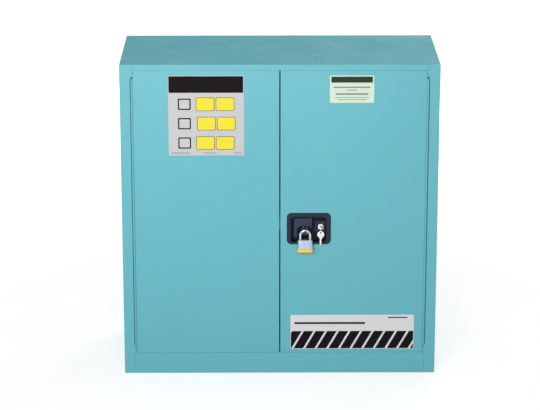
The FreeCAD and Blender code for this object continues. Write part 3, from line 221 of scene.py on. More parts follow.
def build_grain(tree, into):
    """Pebbled grain of a moulding or a textured coat."""
    place = own_place(tree)
    pebble = cells(tree, place, into["Scale"], "SMOOTH_F1", "Distance")
    fine = calc(tree, "MULTIPLY", noise(tree, place, into["Scale"], 3.0, 0.7), 0.6)
    return calc(tree, "ADD", pebble, fine)


def build_brushed(tree, into):
    """Long fine lines along one direction; Stretch squeezes the other two."""
    return noise(tree, vector(tree, "MULTIPLY", own_place(tree), into["Stretch"]), 1.0, 4.0, 0.6)


def build_spangle(tree, into):
    """Zinc crystals: each cell has a tone of its own."""
    place = own_place(tree)
    bend = add_node(tree, "TexNoise", {"Vector": place, "Scale": 60.0}).outputs["Color"]
    bent = vector(tree, "MULTIPLY_ADD", place, bend, (0.006, 0.006, 0.006))
    tint = cells(tree, bent, into["Scale"], "F1", "Color")
    return add_node(tree, "SeparateColor", {0: tint}).outputs[0]


def build_marks(tree, into):
    """Finger grease round a place that hands reach for."""
    place = own_place(tree)
    near = remap(tree, vector(tree, "DISTANCE", place, into["Centre"]), into["Reach"], 0.0)
    smears = remap(tree, noise(tree, place, 38.0, 4.0, 0.6, 1.2), 0.45, 0.75)
    return product(tree, near, smears)


tone_drift = effect("tone_drift", {"Scale": 2.0}, "Tone", build_tone)
edge_wear = effect("edge_wear", {"Radius": 0.001, "Scale": 60.0, "Amount": 1.0}, "Mask", build_wear)
dust_and_top_shade = effect("dust_and_top_shade", {"Scale": 9.0, "Amount": 0.3}, "Mask", build_dust_and_top_shade)
scuff_marks = effect("scuff_marks", {"Scale": 18.0, "Amount": 0.3}, "Mask", build_scuffs)
orange_peel = effect("orange_peel", {"Scale": 420.0}, "Height", build_peel)
pebble_grain = effect("pebble_grain", {"Scale": 1600.0}, "Height", build_grain)
brushed_lines = effect("brushed_lines", {"Stretch": (40.0, 900.0, 900.0)}, "Lines", build_brushed)
zinc_spangle = effect("zinc_spangle", {"Scale": 70.0}, "Crystal", build_spangle)
hand_marks = effect("hand_marks", {"Centre": (0.0, 0.0, 0.0), "Reach": 0.2}, "Mask", build_marks)


# Finishes

def rgb(red, green, blue):
    """A colour without transparency."""
    return (red, green, blue, 1.0)


def toned(colour, share):
    """A colour made darker or lighter."""
    return rgb(*(channel * share for channel in colour[:3]))


COAT = rgb(0.119, 0.438, 0.502)
COAT_INSIDE = rgb(0.108, 0.420, 0.485)
COAT_RUBBED = rgb(0.27, 0.56, 0.61)
COAT_SCRATCHED = rgb(0.42, 0.66, 0.70)
# darker and less red than the coat: settled dust and painted shade on upward faces
COAT_DUST_AND_TOP_SHADE = rgb(0.055, 0.43, 0.48)
# painted shade colour for the joint beside each hinge's barrel
HINGE_SHADE_COLOUR = rgb(0.012, 0.026, 0.028)
BARE_METAL = rgb(0.82, 0.82, 0.82)
handle_low, handle_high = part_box("handle_cup")
HANDLE = tuple((handle_low + handle_high) / 2)  # what hands reach for


def new_finish(name):
    """A new material, with its node tree and its shader."""
    material = bpy.data.materials.new(name)
    material.use_nodes = True
    tree = material.node_tree
    tree.nodes.clear()
    shader = add_node(tree, "BsdfPrincipled")
    output = add_node(tree, "OutputMaterial")
    tree.links.new(shader.outputs[0], output.inputs[0])
    return material, tree, shader


def relief(tree, shader, height, strength, distance):
    """Bumps the surface by a height from 0 to 1; the distance is how high that stands."""
    inputs = {"Height": height, "Strength": strength, "Distance": distance}
    tree.links.new(add_node(tree, "Bump", inputs).outputs[0], shader.inputs["Normal"])


def hinge_painted_shade(tree):
    """Painted shade in the joint beside each hinge's barrel, on the frame's front faces."""
    leaf_low, leaf_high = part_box("right_hinge_frame_leaf")
    wide, trim, blur = 3.0 * MM, 2.0 * MM, 0.5 * MM
    x, y, z = along_axes(tree, own_place(tree))
    across = between(tree, calc(tree, "ABSOLUTE", x), FRAME_EDGE, FRAME_EDGE + wide, blur)
    along = between(tree, z, leaf_low.z + trim, leaf_high.z - trim, trim)
    outside = remap(tree, y, FRONT + 1.7 * MM, FRONT + 0.7 * MM)
    beads = remap(tree, noise(tree, own_place(tree), 190.0, 2.0, 0.6), 0.30, 0.55, 0.45, 0.95)
    return product(tree, across, along, outside, beads)


def powder_coat(name, wear, dust_and_shade, scuffs, grease, colour=COAT, peel=330.0, painted_hinge_shade=False):
    """Satin powder coat on folded steel; grease is how far finger marks reach from the handle."""
    material, tree, shader = new_finish(name)
    shader.inputs["Specular IOR Level"].default_value = 0.52
    tone = use(tree, tone_drift, Scale=1.7)
    coat = mix_colour(tree, tone, toned(colour, 0.965), toned(colour, 1.03))
    rubbed = use(tree, edge_wear, Radius=1.2 * MM, Scale=55.0, Amount=wear)
    coat = mix_colour(tree, rubbed, coat, COAT_RUBBED)
    scratch = use(tree, scuff_marks, Scale=18.0, Amount=scuffs)
    coat = mix_colour(tree, scratch, coat, COAT_SCRATCHED)
    # where dust settles the coat also takes painted shade, darkening the upward faces
    settled_dust_and_shade = use(tree, dust_and_top_shade, Scale=8.0, Amount=1.0)
    coat = mix_colour(tree, product(tree, settled_dust_and_shade, dust_and_shade), coat, COAT_DUST_AND_TOP_SHADE)
    # paints shade into the joint beside each hinge's barrel
    if painted_hinge_shade:
        coat = mix_colour(tree, hinge_painted_shade(tree), coat, HINGE_SHADE_COLOUR)
    feed(tree, shader.inputs["Base Color"], coat)
    satin, greasy_satin, matte = (0.40, 0.47), 0.30, 0.82
    rough = mix_value(tree, tone, *satin)
    rough = mix_value(tree, use(tree, hand_marks, Centre=HANDLE, Reach=grease), rough, greasy_satin)
    rough = mix_value(tree, calc(tree, "MAXIMUM", settled_dust_and_shade, scratch), rough, matte)
    feed(tree, shader.inputs["Roughness"], rough)
    relief(tree, shader, use(tree, orange_peel, Scale=peel), 0.35, 0.12 * MM)
    return material


def plated(name, dark, light, rough, stretch, wear=0.25):
    """Bright metal with drawn lines and rubbed edges."""
    material, tree, shader = new_finish(name)
    lines = use(tree, brushed_lines, Stretch=stretch)
    tone = use(tree, tone_drift, Scale=14.0)
    metal = mix_colour(tree, lines, dark, light)
    metal = mix_colour(tree, product(tree, tone, 0.35), metal, dark)
    rubbed = use(tree, edge_wear, Radius=0.4 * MM, Scale=160.0, Amount=wear)
    feed(tree, shader.inputs["Base Color"], mix_colour(tree, rubbed, metal, BARE_METAL))
    feed(tree, shader.inputs["Roughness"], mix_value(tree, lines, *rough))
    shader.inputs["Metallic"].default_value = 1.0
    relief(tree, shader, lines, 0.12, 0.06 * MM)
    return material


def galvanised():
    """Hot-dipped sheet: crystals that catch the light one by one."""
    material, tree, shader = new_finish("galvanised_sheet")
    crystal = use(tree, zinc_spangle, Scale=75.0)
    tone = use(tree, tone_drift, Scale=5.0)
    sheet = mix_colour(tree, crystal, rgb(0.40, 0.42, 0.43), rgb(0.62, 0.64, 0.65))
    sheet = mix_colour(tree, product(tree, tone, 0.3), sheet, rgb(0.42, 0.43, 0.43))
    feed(tree, shader.inputs["Base Color"], sheet)
    feed(tree, shader.inputs["Roughness"], mix_value(tree, crystal, 0.30, 0.52))
    shader.inputs["Metallic"].default_value = 0.85
    relief(tree, shader, crystal, 0.10, 0.05 * MM)
    return material


def moulded(name, dark, light, rubbed, rough, grain, depth, wear, milky=0.0, shine=0.5,
            hollow=None):
    """A moulding with a pebbled grain; a hollow is two places on Y, and painted shade darkens the
    colour between them.
    """
    material, tree, shader = new_finish(name)
    shader.inputs["Specular IOR Level"].default_value = shine
    tone = use(tree, tone_drift, Scale=11.0)
    body = mix_colour(tree, tone, dark, light)
    # rubbed edges are wear; on the lever they also stand for a painted highlight
    worn_edge_and_highlight = use(tree, edge_wear, Radius=0.6 * MM, Scale=140.0, Amount=wear)
    body = mix_colour(tree, worn_edge_and_highlight, body, rubbed)
    # painted shade: the colour darkens deeper into the hollow
    if hollow:
        painted_recess_shade = remap(tree, along_axes(tree, own_place(tree))[1], *hollow)
        body = mix_colour(tree, painted_recess_shade, body, toned(dark, 0.12))
    feed(tree, shader.inputs["Base Color"], body)
    feed(tree, shader.inputs["Roughness"], mix_value(tree, tone, *rough))
    relief(tree, shader, use(tree, pebble_grain, Scale=grain), depth, 0.08 * MM)
    if milky:
        shader.inputs["Subsurface Weight"].default_value = milky
        shader.inputs["Subsurface Radius"].default_value = (0.010, 0.010, 0.009)
        shader.inputs["Subsurface Scale"].default_value = 0.4
    return material


def printed(name, dark, light, rough, shine=0.35):
    """A label's film, or the ink on it: nearly flat, a little mottled."""
    material, tree, shader = new_finish(name)
    shader.inputs["Specular IOR Level"].default_value = shine
    tone = use(tree, tone_drift, Scale=17.0)
    feed(tree, shader.inputs["Base Color"], mix_colour(tree, tone, dark, light))
    feed(tree, shader.inputs["Roughness"], mix_value(tree, tone, rough, rough + 0.12))
    relief(tree, shader, use(tree, orange_peel, Scale=190.0), 0.10, 0.08 * MM)
    return material


outer_coat = powder_coat("powder_coat_outside", wear=0.50, dust_and_shade=0.50, scuffs=0.22, grease=0.16)
# the frame's coat paints shade into the joints beside the hinges
frame_coat = powder_coat("powder_coat_frame", wear=0.50, dust_and_shade=0.50, scuffs=0.22, grease=0.16,
                         painted_hinge_shade=True)
door_coat = powder_coat("powder_coat_doors", wear=0.45, dust_and_shade=0.10, scuffs=0.30, grease=0.20)
hinge_coat = powder_coat("powder_coat_hinges", wear=0.65, dust_and_shade=0.10, scuffs=0.30, grease=0.02)
inner_coat = powder_coat("powder_coat_inside", wear=0.55, dust_and_shade=0.20, scuffs=0.45, grease=0.02,
                         colour=COAT_INSIDE, peel=300.0)

zinc = plated("zinc_plate", rgb(0.40, 0.41, 0.42), rgb(0.60, 0.61, 0.62), (0.28, 0.42),
              stretch=(700.0, 700.0, 30.0))
dark_zinc = plated("darkened_zinc", rgb(0.045, 0.047, 0.055), rgb(0.10, 0.105, 0.12), (0.30, 0.45),
                   stretch=(500.0, 500.0, 30.0), wear=0.35)
vent_metal = plated("vent_plate", rgb(0.25, 0.26, 0.27), rgb(0.38, 0.39, 0.40), (0.42, 0.58),
                    stretch=(60.0, 300.0, 300.0))
brass = plated("ground_brass", rgb(0.50, 0.36, 0.14), rgb(0.70, 0.53, 0.24), (0.25, 0.40),
               stretch=(600.0, 40.0, 600.0))
chrome = plated("bright_chrome", rgb(0.42, 0.44, 0.48), rgb(0.56, 0.57, 0.61), (0.10, 0.18),
                stretch=(60.0, 30.0, 60.0), wear=0.0)
plug_metal = plated("lock_plug_metal", rgb(0.11, 0.12, 0.15), rgb(0.19, 0.20, 0.24), (0.22, 0.34),
                    stretch=(60.0, 30.0, 60.0), wear=0.2)
nickel = plated("key_nickel", rgb(0.66, 0.65, 0.63), rgb(0.82, 0.81, 0.79), (0.24, 0.38),
                stretch=(300.0, 300.0, 60.0), wear=0.3)
laminated = plated("lock_laminae", rgb(0.34, 0.38, 0.48), rgb(0.44, 0.49, 0.60), (0.30, 0.46),
                   stretch=(60.0, 700.0, 1500.0), wear=0.4)
sheet_zinc = galvanised()

# the handle cup's recess gets painted shade, darker inwards
black_moulding = moulded("black_moulding", rgb(0.014, 0.019, 0.038), rgb(0.022, 0.028, 0.052),
                         rubbed=rgb(0.08, 0.095, 0.14), rough=(0.40, 0.52), grain=1500.0,
                         depth=0.30, wear=0.35, shine=0.18,
                         hollow=(handle_low.y + 7 * MM, handle_low.y + 12 * MM))
# the lever's light rubbed edges are wear and a painted highlight
black_lever = moulded("black_lever", rgb(0.018, 0.024, 0.056), rgb(0.026, 0.034, 0.074),
                      rubbed=rgb(0.17, 0.20, 0.29), rough=(0.30, 0.42), grain=1900.0, depth=0.20,
                      wear=0.9, shine=0.3)
yellow_moulding = moulded("yellow_moulding", rgb(0.82, 0.50, 0.045), rgb(0.93, 0.62, 0.09),
                          rubbed=rgb(0.95, 0.76, 0.28), rough=(0.34, 0.46), grain=1100.0,
                          depth=0.16, wear=0.25, milky=0.05)
tray_moulding = moulded("tray_moulding", rgb(0.66, 0.68, 0.67), rgb(0.78, 0.79, 0.78),
                        rubbed=rgb(0.85, 0.86, 0.85), rough=(0.36, 0.50), grain=700.0, depth=0.20,
                        wear=0.20, milky=0.35)
foot_rubber = moulded("foot_rubber", rgb(0.016, 0.016, 0.016), rgb(0.035, 0.034, 0.033),
                      rubbed=rgb(0.07, 0.07, 0.07), rough=(0.62, 0.78), grain=1200.0, depth=0.5,
                      wear=0.3)

silver_film = printed("label_silver", rgb(0.515, 0.51, 0.515), rgb(0.565, 0.56, 0.565), 0.36)
pale_film = printed("label_pale", rgb(0.68, 0.665, 0.67), rgb(0.74, 0.725, 0.73), 0.36)
cream_film = printed("label_cream", rgb(0.60, 0.72, 0.58), rgb(0.66, 0.78, 0.63), 0.40)
black_ink = printed("ink_black", rgb(0.005, 0.004, 0.005), rgb(0.009, 0.007, 0.008), 0.50, 0.06)
yellow_ink = printed("ink_yellow", rgb(0.78, 0.66, 0.02), rgb(0.84, 0.72, 0.04), 0.34)
green_ink = printed("ink_green", rgb(0.014, 0.026, 0.016), rgb(0.024, 0.040, 0.026), 0.42, 0.15)
grey_ink = printed("ink_grey", rgb(0.20, 0.22, 0.20), rgb(0.26, 0.28, 0.26), 0.36)


# Frame pieces: smoothed, with the small radius of a fold or a moulding

SHARP_TURN = math.radians(32)  # an edge that turns more than this is shaded sharp
ROUNDED_TURN = math.radians(35)  # an edge that turns more than this gets a radius


def weld_group():
    """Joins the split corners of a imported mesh, and shades all but its sharp edges smooth."""
    group = bpy.data.node_groups.new("joined_shading", "GeometryNodeTree")
    group.interface.new_socket("Geometry", in_out="INPUT", socket_type="NodeSocketGeometry")
    group.interface.new_socket("Geometry", in_out="OUTPUT", socket_type="NodeSocketGeometry")
    start = group.nodes.new("NodeGroupInput")
    plain = group.nodes.new("GeometryNodeRemoveAttribute")
    plain.inputs["Name"].default_value = "custom_normal"
    merge = group.nodes.new("GeometryNodeMergeByDistance")
    merge.inputs["Distance"].default_value = 0.005 * MM
    faces = group.nodes.new("GeometryNodeSetShadeSmooth")
    edges = group.nodes.new("GeometryNodeSetShadeSmooth")
    edges.domain = "EDGE"
    edges.inputs["Shade Smooth"].default_value = False
    angle = group.nodes.new("GeometryNodeInputMeshEdgeAngle")
    sharp = group.nodes.new("FunctionNodeCompare")
    sharp.inputs[1].default_value = SHARP_TURN
    group.links.new(angle.outputs[0], sharp.inputs[0])
    group.links.new(sharp.outputs[0], edges.inputs["Selection"])
    chain = [start, plain, merge, faces, edges, group.nodes.new("NodeGroupOutput")]
    for before, after in zip(chain, chain[1:]):
        group.links.new(before.outputs[0], after.inputs[0])
    return group


joined_shading = weld_group()


def join_shading(thing):
    """Adds the joined shading to an object."""
    shading = thing.modifiers.new("joined_shading", "NODES")
    shading.node_group = joined_shading


def soften(thing, radius):
    """Rounds the sharp edges of an object by a radius in millimetres."""
    flatten = thing.modifiers.new("flatten", "DECIMATE")
    flatten.decimate_type = "DISSOLVE"
    flatten.angle_limit = math.radians(0.5)
    bevel = thing.modifiers.new("edge_radius", "BEVEL")
    bevel.width = radius * MM
    bevel.segments = 2
    bevel.limit_method = "ANGLE"
    bevel.angle_limit = ROUNDED_TURN
    bevel.use_clamp_overlap = True
    bevel.harden_normals = True


def dress(material, radius, *names):
    """Gives frame pieces their finish, and their edges a radius in millimetres."""
    for name in names:
        thing = nodes[name]
        for slot in thing.material_slots:
            slot.material = material
        join_shading(thing)
        if radius:
            soften(thing, radius)


dress(frame_coat, 0.5, "left_side_panel", "right_side_panel")
dress(outer_coat, 0.5, "sill_rail")
dress(outer_coat, 0, "top_panel", "back_panel", "bottom_panel")
dress(door_coat, 0.4, "left_door_skin", "right_door_skin")
dress(inner_coat, 0.4, "left_door_liner", "right_door_liner", "rear_liner", "top_liner", "sump_pan")
dress(inner_coat, 0, "left_liner", "right_liner")
dress(hinge_coat, 0.25, "left_hinge_frame_leaf", "left_hinge_door_leaf", "right_hinge_frame_leaf",
      "right_hinge_door_leaf")
dress(zinc, 0, "left_hinge_pin", "right_hinge_pin", "rotor_rivet")
dress(zinc, 0.3, "frame_strikes", "shelf_hangers", "foot_nuts", "centre_strike", "latch_backplate",
      "rod_guides", "rotor", "top_rod", "bottom_rod", "centre_bolt", "lock_cam")
dress(dark_zinc, 0, "paddle_pin")
dress(dark_zinc, 0.6, "padlock_lug")
dress(sheet_zinc, 0.4, "shelf")
dress(tray_moulding, 1.2, "shelf_tray")
dress(vent_metal, 0.5, "lower_vent_bushing", "upper_vent_bushing", "lower_vent_plug",
      "upper_vent_plug")
dress(vent_metal, 0, "lower_flame_screen", "upper_flame_screen")
dress(brass, 0.4, "ground_stud", "ground_nuts")
dress(black_moulding, 0.7, "handle_cup")
dress(black_lever, 0.7, "paddle")
dress(chrome, 0.35, "lock_cylinder")
dress(plug_metal, 0.35, "lock_plug")


# Pieces built in mesh

def keep_mesh(name, mesh, material, body, replaced=(), smooth=True):
    """Makes an object of a mesh in the row frame and gives it to a body."""
    thing = bpy.data.objects.new(name, mesh)
    bpy.context.scene.collection.objects.link(thing)
    mesh.materials.clear()
    mesh.materials.append(material)
    if smooth:
        mesh.shade_smooth()
        join_shading(thing)
    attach(thing, body)
    if replaced:
        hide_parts(*replaced)


def mesh_of(build):
    """A mesh from a function that fills a bmesh."""
    work = bmesh.new()
    build(work)
    bmesh.ops.remove_doubles(work, verts=work.verts, dist=0.002 * MM)
    bmesh.ops.recalc_face_normals(work, faces=work.faces)
    mesh = bpy.data.meshes.new("piece")
    work.to_mesh(mesh)
    work.free()
    return mesh


def ring_of(count, radius):
    """Points spread evenly round a circle."""
    angles = [2 * math.pi * k / count for k in range(count)]
    return [(radius * math.cos(angle), radius * math.sin(angle)) for angle in angles]


def rounded_rectangle(wide, tall, corner, steps=6):
    """Corner points of a rounded rectangle about the origin, anticlockwise."""
    points = []
    for k, (sx, sy) in enumerate(((1, -1), (1, 1), (-1, 1), (-1, -1))):
        for step in range(steps + 1):
            angle = math.pi / 2 * (k - 1 + step / steps)
            points.append((sx * (wide / 2 - corner) + corner * math.cos(angle),
                           sy * (tall / 2 - corner) + corner * math.sin(angle)))
    return points


def cutout(loops, thickness, bevel=0.0):
    """A flat piece from closed loops in its own XY plane; inner loops are holes."""
    curve = bpy.data.curves.new("cutout", "CURVE")
    curve.dimensions = "2D"
    curve.fill_mode = "BOTH"
    curve.extrude = thickness / 2 - bevel
    curve.bevel_depth = bevel
    curve.bevel_resolution = 1
    curve.offset = -bevel
    for loop in loops:
        spline = curve.splines.new("POLY")
        spline.points.add(len(loop) - 1)
        for point, (x, y) in zip(spline.points, loop):
            point.co = (x, y, 0, 1)
        spline.use_cyclic_u = True
    holder = bpy.data.objects.new("cutout", curve)
    mesh = bpy.data.meshes.new_from_object(holder)
    bpy.data.objects.remove(holder)
    bpy.data.curves.remove(curve)
    return mesh


def placed(mesh, matrix):
    """The mesh itself, moved by a matrix."""
    mesh.transform(matrix)
    return mesh


def joined(meshes):
    """One mesh of several."""
    work = bmesh.new()
    for mesh in meshes:
        work.from_mesh(mesh)
        bpy.data.meshes.remove(mesh)
    result = bpy.data.meshes.new("piece")
    work.to_mesh(result)
    work.free()
    return result


def skin_between(work, first, second):
    """Faces between two rings of points, or between a ring and a single point."""
    count = max(len(first), len(second))
    if count == 1:
        return
    for k in range(count):
        after = (k + 1) % count
        corners = [first[k % len(first)], first[after % len(first)], second[after % len(second)],
                   second[k % len(second)]]
        unique = [corner for place, corner in enumerate(corners) if corner not in corners[:place]]
        if len(unique) > 2:
            work.faces.new(unique)


def lathe(profile, origin, direction=UP, count=32, hollow=False):
    """A turned piece from points (radius, distance along the direction). A hollow one's profile
    closes on itself, and any other piece is capped at both ends."""
    turn = Vector(UP).rotation_difference(Vector(direction)).to_matrix().to_4x4()
    place = Matrix.Translation(origin) @ turn

    def build(work):
        rings = []
        for radius, along in profile:
            outline = ring_of(count, radius) if radius > 0.0 else [(0.0, 0.0)]
            rings.append([work.verts.new(place @ Vector((x, y, along))) for x, y in outline])
        for first, second in zip(rings, rings[1:]):
            skin_between(work, first, second)
        if hollow:
            skin_between(work, rings[-1], rings[0])
            return
        for end in (rings[0], rings[-1]):
            if len(end) > 1:
                work.faces.new(end)
    return mesh_of(build)


def loft(sections):
    """A closed skin through rows of points, capped at both ends."""
    def build(work):
        rows = [[work.verts.new(point) for point in section] for section in sections]
        for first, second in zip(rows, rows[1:]):
            skin_between(work, first, second)
        work.faces.new(rows[0])
        work.faces.new(rows[-1])
    return mesh_of(build)


def thread(low, high, crest, root, rise, pitch):
    """The ridges of a screw thread in a turned profile, between two levels."""
    points, level = [], low
    while level < high:
        points += [(crest, level), (root, level + rise)]
        level += pitch
    return points


def in_metres(points, shift=(0.0, 0.0)):
    """Points in millimetres, shifted and turned into metres."""
    return [((x + shift[0]) * MM, (y + shift[1]) * MM) for x, y in points]


# Labels: film with raised ink, in millimetres from the cabinet's middle and from the floor

FILM, INK = 0.35, 0.12  # how thick they are


def on_door(body, depth, thickness, x=0.0, z=0.0):
    """The place of a flat piece on a door, with its back at a depth in front of the door's face."""
    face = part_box(body + "_skin")[0].y
    return Matrix.Translation((x * MM, face - (depth + thickness / 2) * MM, z * MM)) @ UPRIGHT


def lay_block(name, across, up, corner, depth, thickness, material, body):
    """A rounded rectangle between two distances across and two heights."""
    outline = rounded_rectangle(across[1] - across[0], up[1] - up[0], corner)
    mesh = cutout([in_metres(outline)], thickness * MM, min(0.08, thickness / 3) * MM)
    place = on_door(body, depth, thickness, (across[0] + across[1]) / 2, (up[0] + up[1]) / 2)
    keep_mesh(name, placed(mesh, place), material, body, smooth=False)


def lay_shapes(name, shapes, depth, material, body):
    """Several shapes of ink, each a list of loops, as one piece."""
    meshes = [cutout([in_metres(loop) for loop in loops], INK * MM) for loops in shapes]
    mesh = placed(joined(meshes), on_door(body, depth, INK))
    keep_mesh(name, mesh, material, body, smooth=False)


def box_loop(x0, z0, x1, z1, corner):
    """A rounded rectangle between two places."""
    outline = rounded_rectangle(x1 - x0, z1 - z0, corner, 4)
    return [(x + (x0 + x1) / 2, z + (z0 + z1) / 2) for x, z in outline]


def large_label():
    """The left door's label: a header band, rows of bars and small frames, and a foot rule."""
    x0, x1, z0, z1 = -381.0, -123.0, 799.0, 1080.0
    row_low, row_pitch, stagger = 22, 68.5, 4
    bar_from, bar_pitch, bar_wide, bar_tall, rim = 96, 68, 60, 44, 1.6
    lay_block("large_label_film", (x0, x1), (z0, z1), 2.0, 0.0, FILM, silver_film,
              "left_door")
    lay_block("large_label_header", (x0 + 2, x1 - 2), (z1 - 60, z1 - 2), 1.5, FILM, INK, black_ink,
              "left_door")
    rims, bars, frames = [], [], []
    for row in range(3):
        low = z0 + row_low + row_pitch * row
        high = low + bar_tall
        for part in range(2):
            start = x0 + bar_from + stagger * (row % 2) + part * bar_pitch
            end = start + bar_wide
            rims.append([box_loop(start - rim, low - rim, end + rim, high + rim, 5.0)])
            bars.append([box_loop(start, low, end, high, 4.0)])
        outer = box_loop(x0 + 33, low + 2, x0 + 77, high - 2, 4.0)
        inner = box_loop(x0 + 37.5, low + 6.5, x0 + 72.5, high - 6.5, 2.0)
        frames.append([outer, inner])
    rules = [[box_loop(x, z0 + 7, x + length, z0 + 10, 1.0)]
             for x, length in ((x0 + 8, 66), (x0 + 118, 46), (x1 - 34, 26))]
    lay_shapes("large_label_rims", rims, FILM, black_ink, "left_door")
    lay_shapes("large_label_bars", bars, FILM + INK, yellow_ink, "left_door")
    lay_shapes("large_label_frames", frames, FILM, black_ink, "left_door")
    lay_shapes("large_label_rules", rules, FILM, grey_ink, "left_door")


def small_label():
    """Upper label of the right door: a band and ruled lines."""
    x0, x1, z0, z1 = 170.0, 321.0, 984.0, 1080.0
    lay_block("small_label_film", (x0, x1), (z0, z1), 5.0, 0.0, FILM, cream_film,
              "right_door")
    lay_block("small_label_band", (x0 + 5, x1 - 5), (z1 - 25, z1 - 4), 1.5, FILM, INK, green_ink,
              "right_door")
    rows = ((39, 13, 5), (50, 58, 3), (62, 20, 6), (76, 18, 2), (83, 26, 2))
    lines = [[box_loop(x0 + inset, z1 - drop - tall, x1 - inset, z1 - drop, 0.8)]
             for drop, inset, tall in rows]
    lay_shapes("small_label_lines", lines, FILM, grey_ink, "right_door")


def clip_across(points, left, right):
    """The part of a convex outline between two uprights."""
    for limit, keep in ((left, 1), (right, -1)):
        inside = []
        for (xa, za), (xb, zb) in zip(points, points[1:] + points[:1]):
            da, db = (xa - limit) * keep, (xb - limit) * keep
            if da >= 0:
                inside.append((xa, za))
            if da * db < 0:
                share = da / (da - db)
                inside.append((xa + (xb - xa) * share, za + (zb - za) * share))
        points = inside
        if len(points) < 3:
            return None
    return points


def striped_label():
    """Lower label of the right door: two rules over a band of slanting stripes."""
    x0, x1, z0, z1 = 37.5, 470.5, 91.5, 217.7
    low, high, margin = z0 + 1.5, z0 + 66.0, 1.5
    stripe, pitch = 33, 41.0
    lean = (high - low) * math.tan(math.radians(29.5))
    lay_block("striped_label_film", (x0, x1), (z0, z1), 2.0, 0.0, FILM, pale_film,
              "right_door")
    stripes, left = [], x0 - 30.0
    while left < x1:
        corners = [(left, low), (left + stripe, low), (left + stripe + lean, high),
                   (left + lean, high)]
        kept = clip_across(corners, x0 + margin, x1 - margin)
        if kept:
            stripes.append([kept])
        left += pitch
    rules = [[box_loop(x0 + 14, z1 - 34, x0 + 262, z1 - 27, 2.0)],
             [box_loop(x1 - 92, z1 - 12, x1 - 22, z1 - 8, 1.5)]]
    lay_shapes("striped_label_stripes", stripes, FILM, black_ink, "right_door")
    lay_shapes("striped_label_rules", rules, FILM, black_ink, "right_door")


large_label()
small_label()
striped_label()


# Keys and their ring

KEY_BOW = 12.0  # the radius of a key's bow, in millimetres


def key_outline(length):
    """A key about its bow's centre, with its blade towards -Y, in millimetres."""
    half, shoulder = 3.5, -12.6
    start, sweep, steps = -52, 284, 40
    angles = [math.radians(start + sweep * k / steps) for k in range(steps + 1)]
    bow = [(KEY_BOW * math.cos(angle), KEY_BOW * math.sin(angle)) for angle in angles]
    left = [(-4.6, shoulder), (-half, -14.2), (-half, -length + 2.0), (-half + 1.8, -length)]
    right = [(half - 2.6, -length), (half - 1.2, -length + 2.2)]
    cuts = (1.6, 0.5, 2.2, 1.1, 2.6, 0.8)
    pitch = (length - 20.0) / len(cuts)
    for k, depth in enumerate(cuts):
        base = -length + 3.2 + k * pitch
        right += [(half - depth, base), (half - depth, base + pitch * 0.45),
                  (half - 0.2, base + pitch * 0.75)]
    right += [(half, -15.4), (4.6, shoulder)]
    return bow + left + right


def flat_key(name, node, place, length):
    """A key with a hole in its bow, and a raised rim on both faces."""
    thick, hole_radius, hole_up = 2.0, 3.0, 6.0
    hole = in_metres(ring_of(20, hole_radius), (0.0, hole_up))
    pieces = [cutout([in_metres(key_outline(length)), hole], thick * MM, 0.25 * MM)]
    for z in (-thick / 2, thick / 2):
        rim = cutout([in_metres(ring_of(32, 10.4)), in_metres(ring_of(32, 9.4))], 0.24 * MM)
        pieces.append(placed(rim, Matrix.Translation((0, 0, z * MM))))
    keep_mesh(name, placed(joined(pieces), place), nickel, node, (node,))


def cut_keys():
    """The spare key hangs with its blade down, and the other stands in the lock."""
    low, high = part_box("spare_key")
    x, y = (low.x + high.x) / 2, (low.y + high.y) / 2
    bow_place = Matrix.Translation((x, y, high.z - KEY_BOW * MM)) @ UPRIGHT
    flat_key("spare_key_cut", "spare_key", bow_place, (high.z - low.z) / MM - KEY_BOW)
    low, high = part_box("key")
    x, z = (low.x + high.x) / 2, (low.z + high.z) / 2
    bow_place = Matrix.Translation((x, low.y + KEY_BOW * MM, z)) @ Matrix.Rotation(math.pi, 4, "Z")
    flat_key("lock_key_cut", "key", bow_place, (high.y - low.y) / MM - KEY_BOW)


def split_ring():
    """Two turns of flat wire, side by side."""
    low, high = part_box("key_ring")
    middle = (low + high) / 2
    outer, lane = (high.z - low.z) / 2, (high.x - low.x) / 2
    wire, turns, count = 1.5 * MM, 1.9, 96
    rows = []
    for k in range(count + 1):
        share = k / count
        angle = 2 * math.pi * turns * share
        x = middle.x + lane * (share - 0.5)
        row = []
        for across, out in rounded_rectangle(0.92 * lane, wire, 0.2 * MM, 2):
            radius = outer - wire / 2 + out
            y, z = middle.y + radius * math.cos(angle), middle.z + radius * math.sin(angle)
            row.append((x + across, y, z))
        rows.append(row)
    keep_mesh("split_ring", loft(rows), nickel, "key", ("key_ring",))


cut_keys()
split_ring()


# Padlock

SHACKLE_BEND = 16.75 * MM  # from the padlock's middle to the axis of each leg


def padlock():
    """Body of eight plates round a core, with four rivet heads and a collar at each leg."""
    low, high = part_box("padlock_body")
    middle = (low + high) / 2
    wide, thick, tall = high - low
    count, gap = 8, 0.14  # the gap between plates is a share of their pitch
    pitch = tall / count
    core = cutout([rounded_rectangle(wide - 1.2 * MM, thick - 1.2 * MM, 5 * MM)], pitch * count)
    plates = [placed(core, Matrix.Translation(middle))]
    for k in range(count):
        plate = cutout([rounded_rectangle(wide, thick, 6 * MM, 8)], (1 - gap) * pitch, 0.3 * MM)
        level = low.z + (k + 0.5) * pitch
        plates.append(placed(plate, Matrix.Translation((middle.x, middle.y, level))))
    head = in_metres([(0.0, 0.8), (1.4, 0.65), (2.1, 0.2), (2.2, -0.6)])
    collar = in_metres([(4.9, -0.4), (6.2, -0.4), (6.2, 0.5), (5.8, 0.8), (5.1, 0.8)])
    for side in (-1, 1):
        x = middle.x + side * (wide / 2 - 5 * MM)
        for way in (-1, 1):
            y = middle.y + way * (thick / 2 - 4.5 * MM)
            plates.append(lathe(head, (x, y, high.z), count=16))
    for side in (-1, 1):
        place = (middle.x + side * SHACKLE_BEND, middle.y, high.z)
        plates.append(lathe(collar, place, hollow=True))
    keep_mesh("padlock_laminae", joined(plates), laminated, "padlock",
              ("padlock_body",))


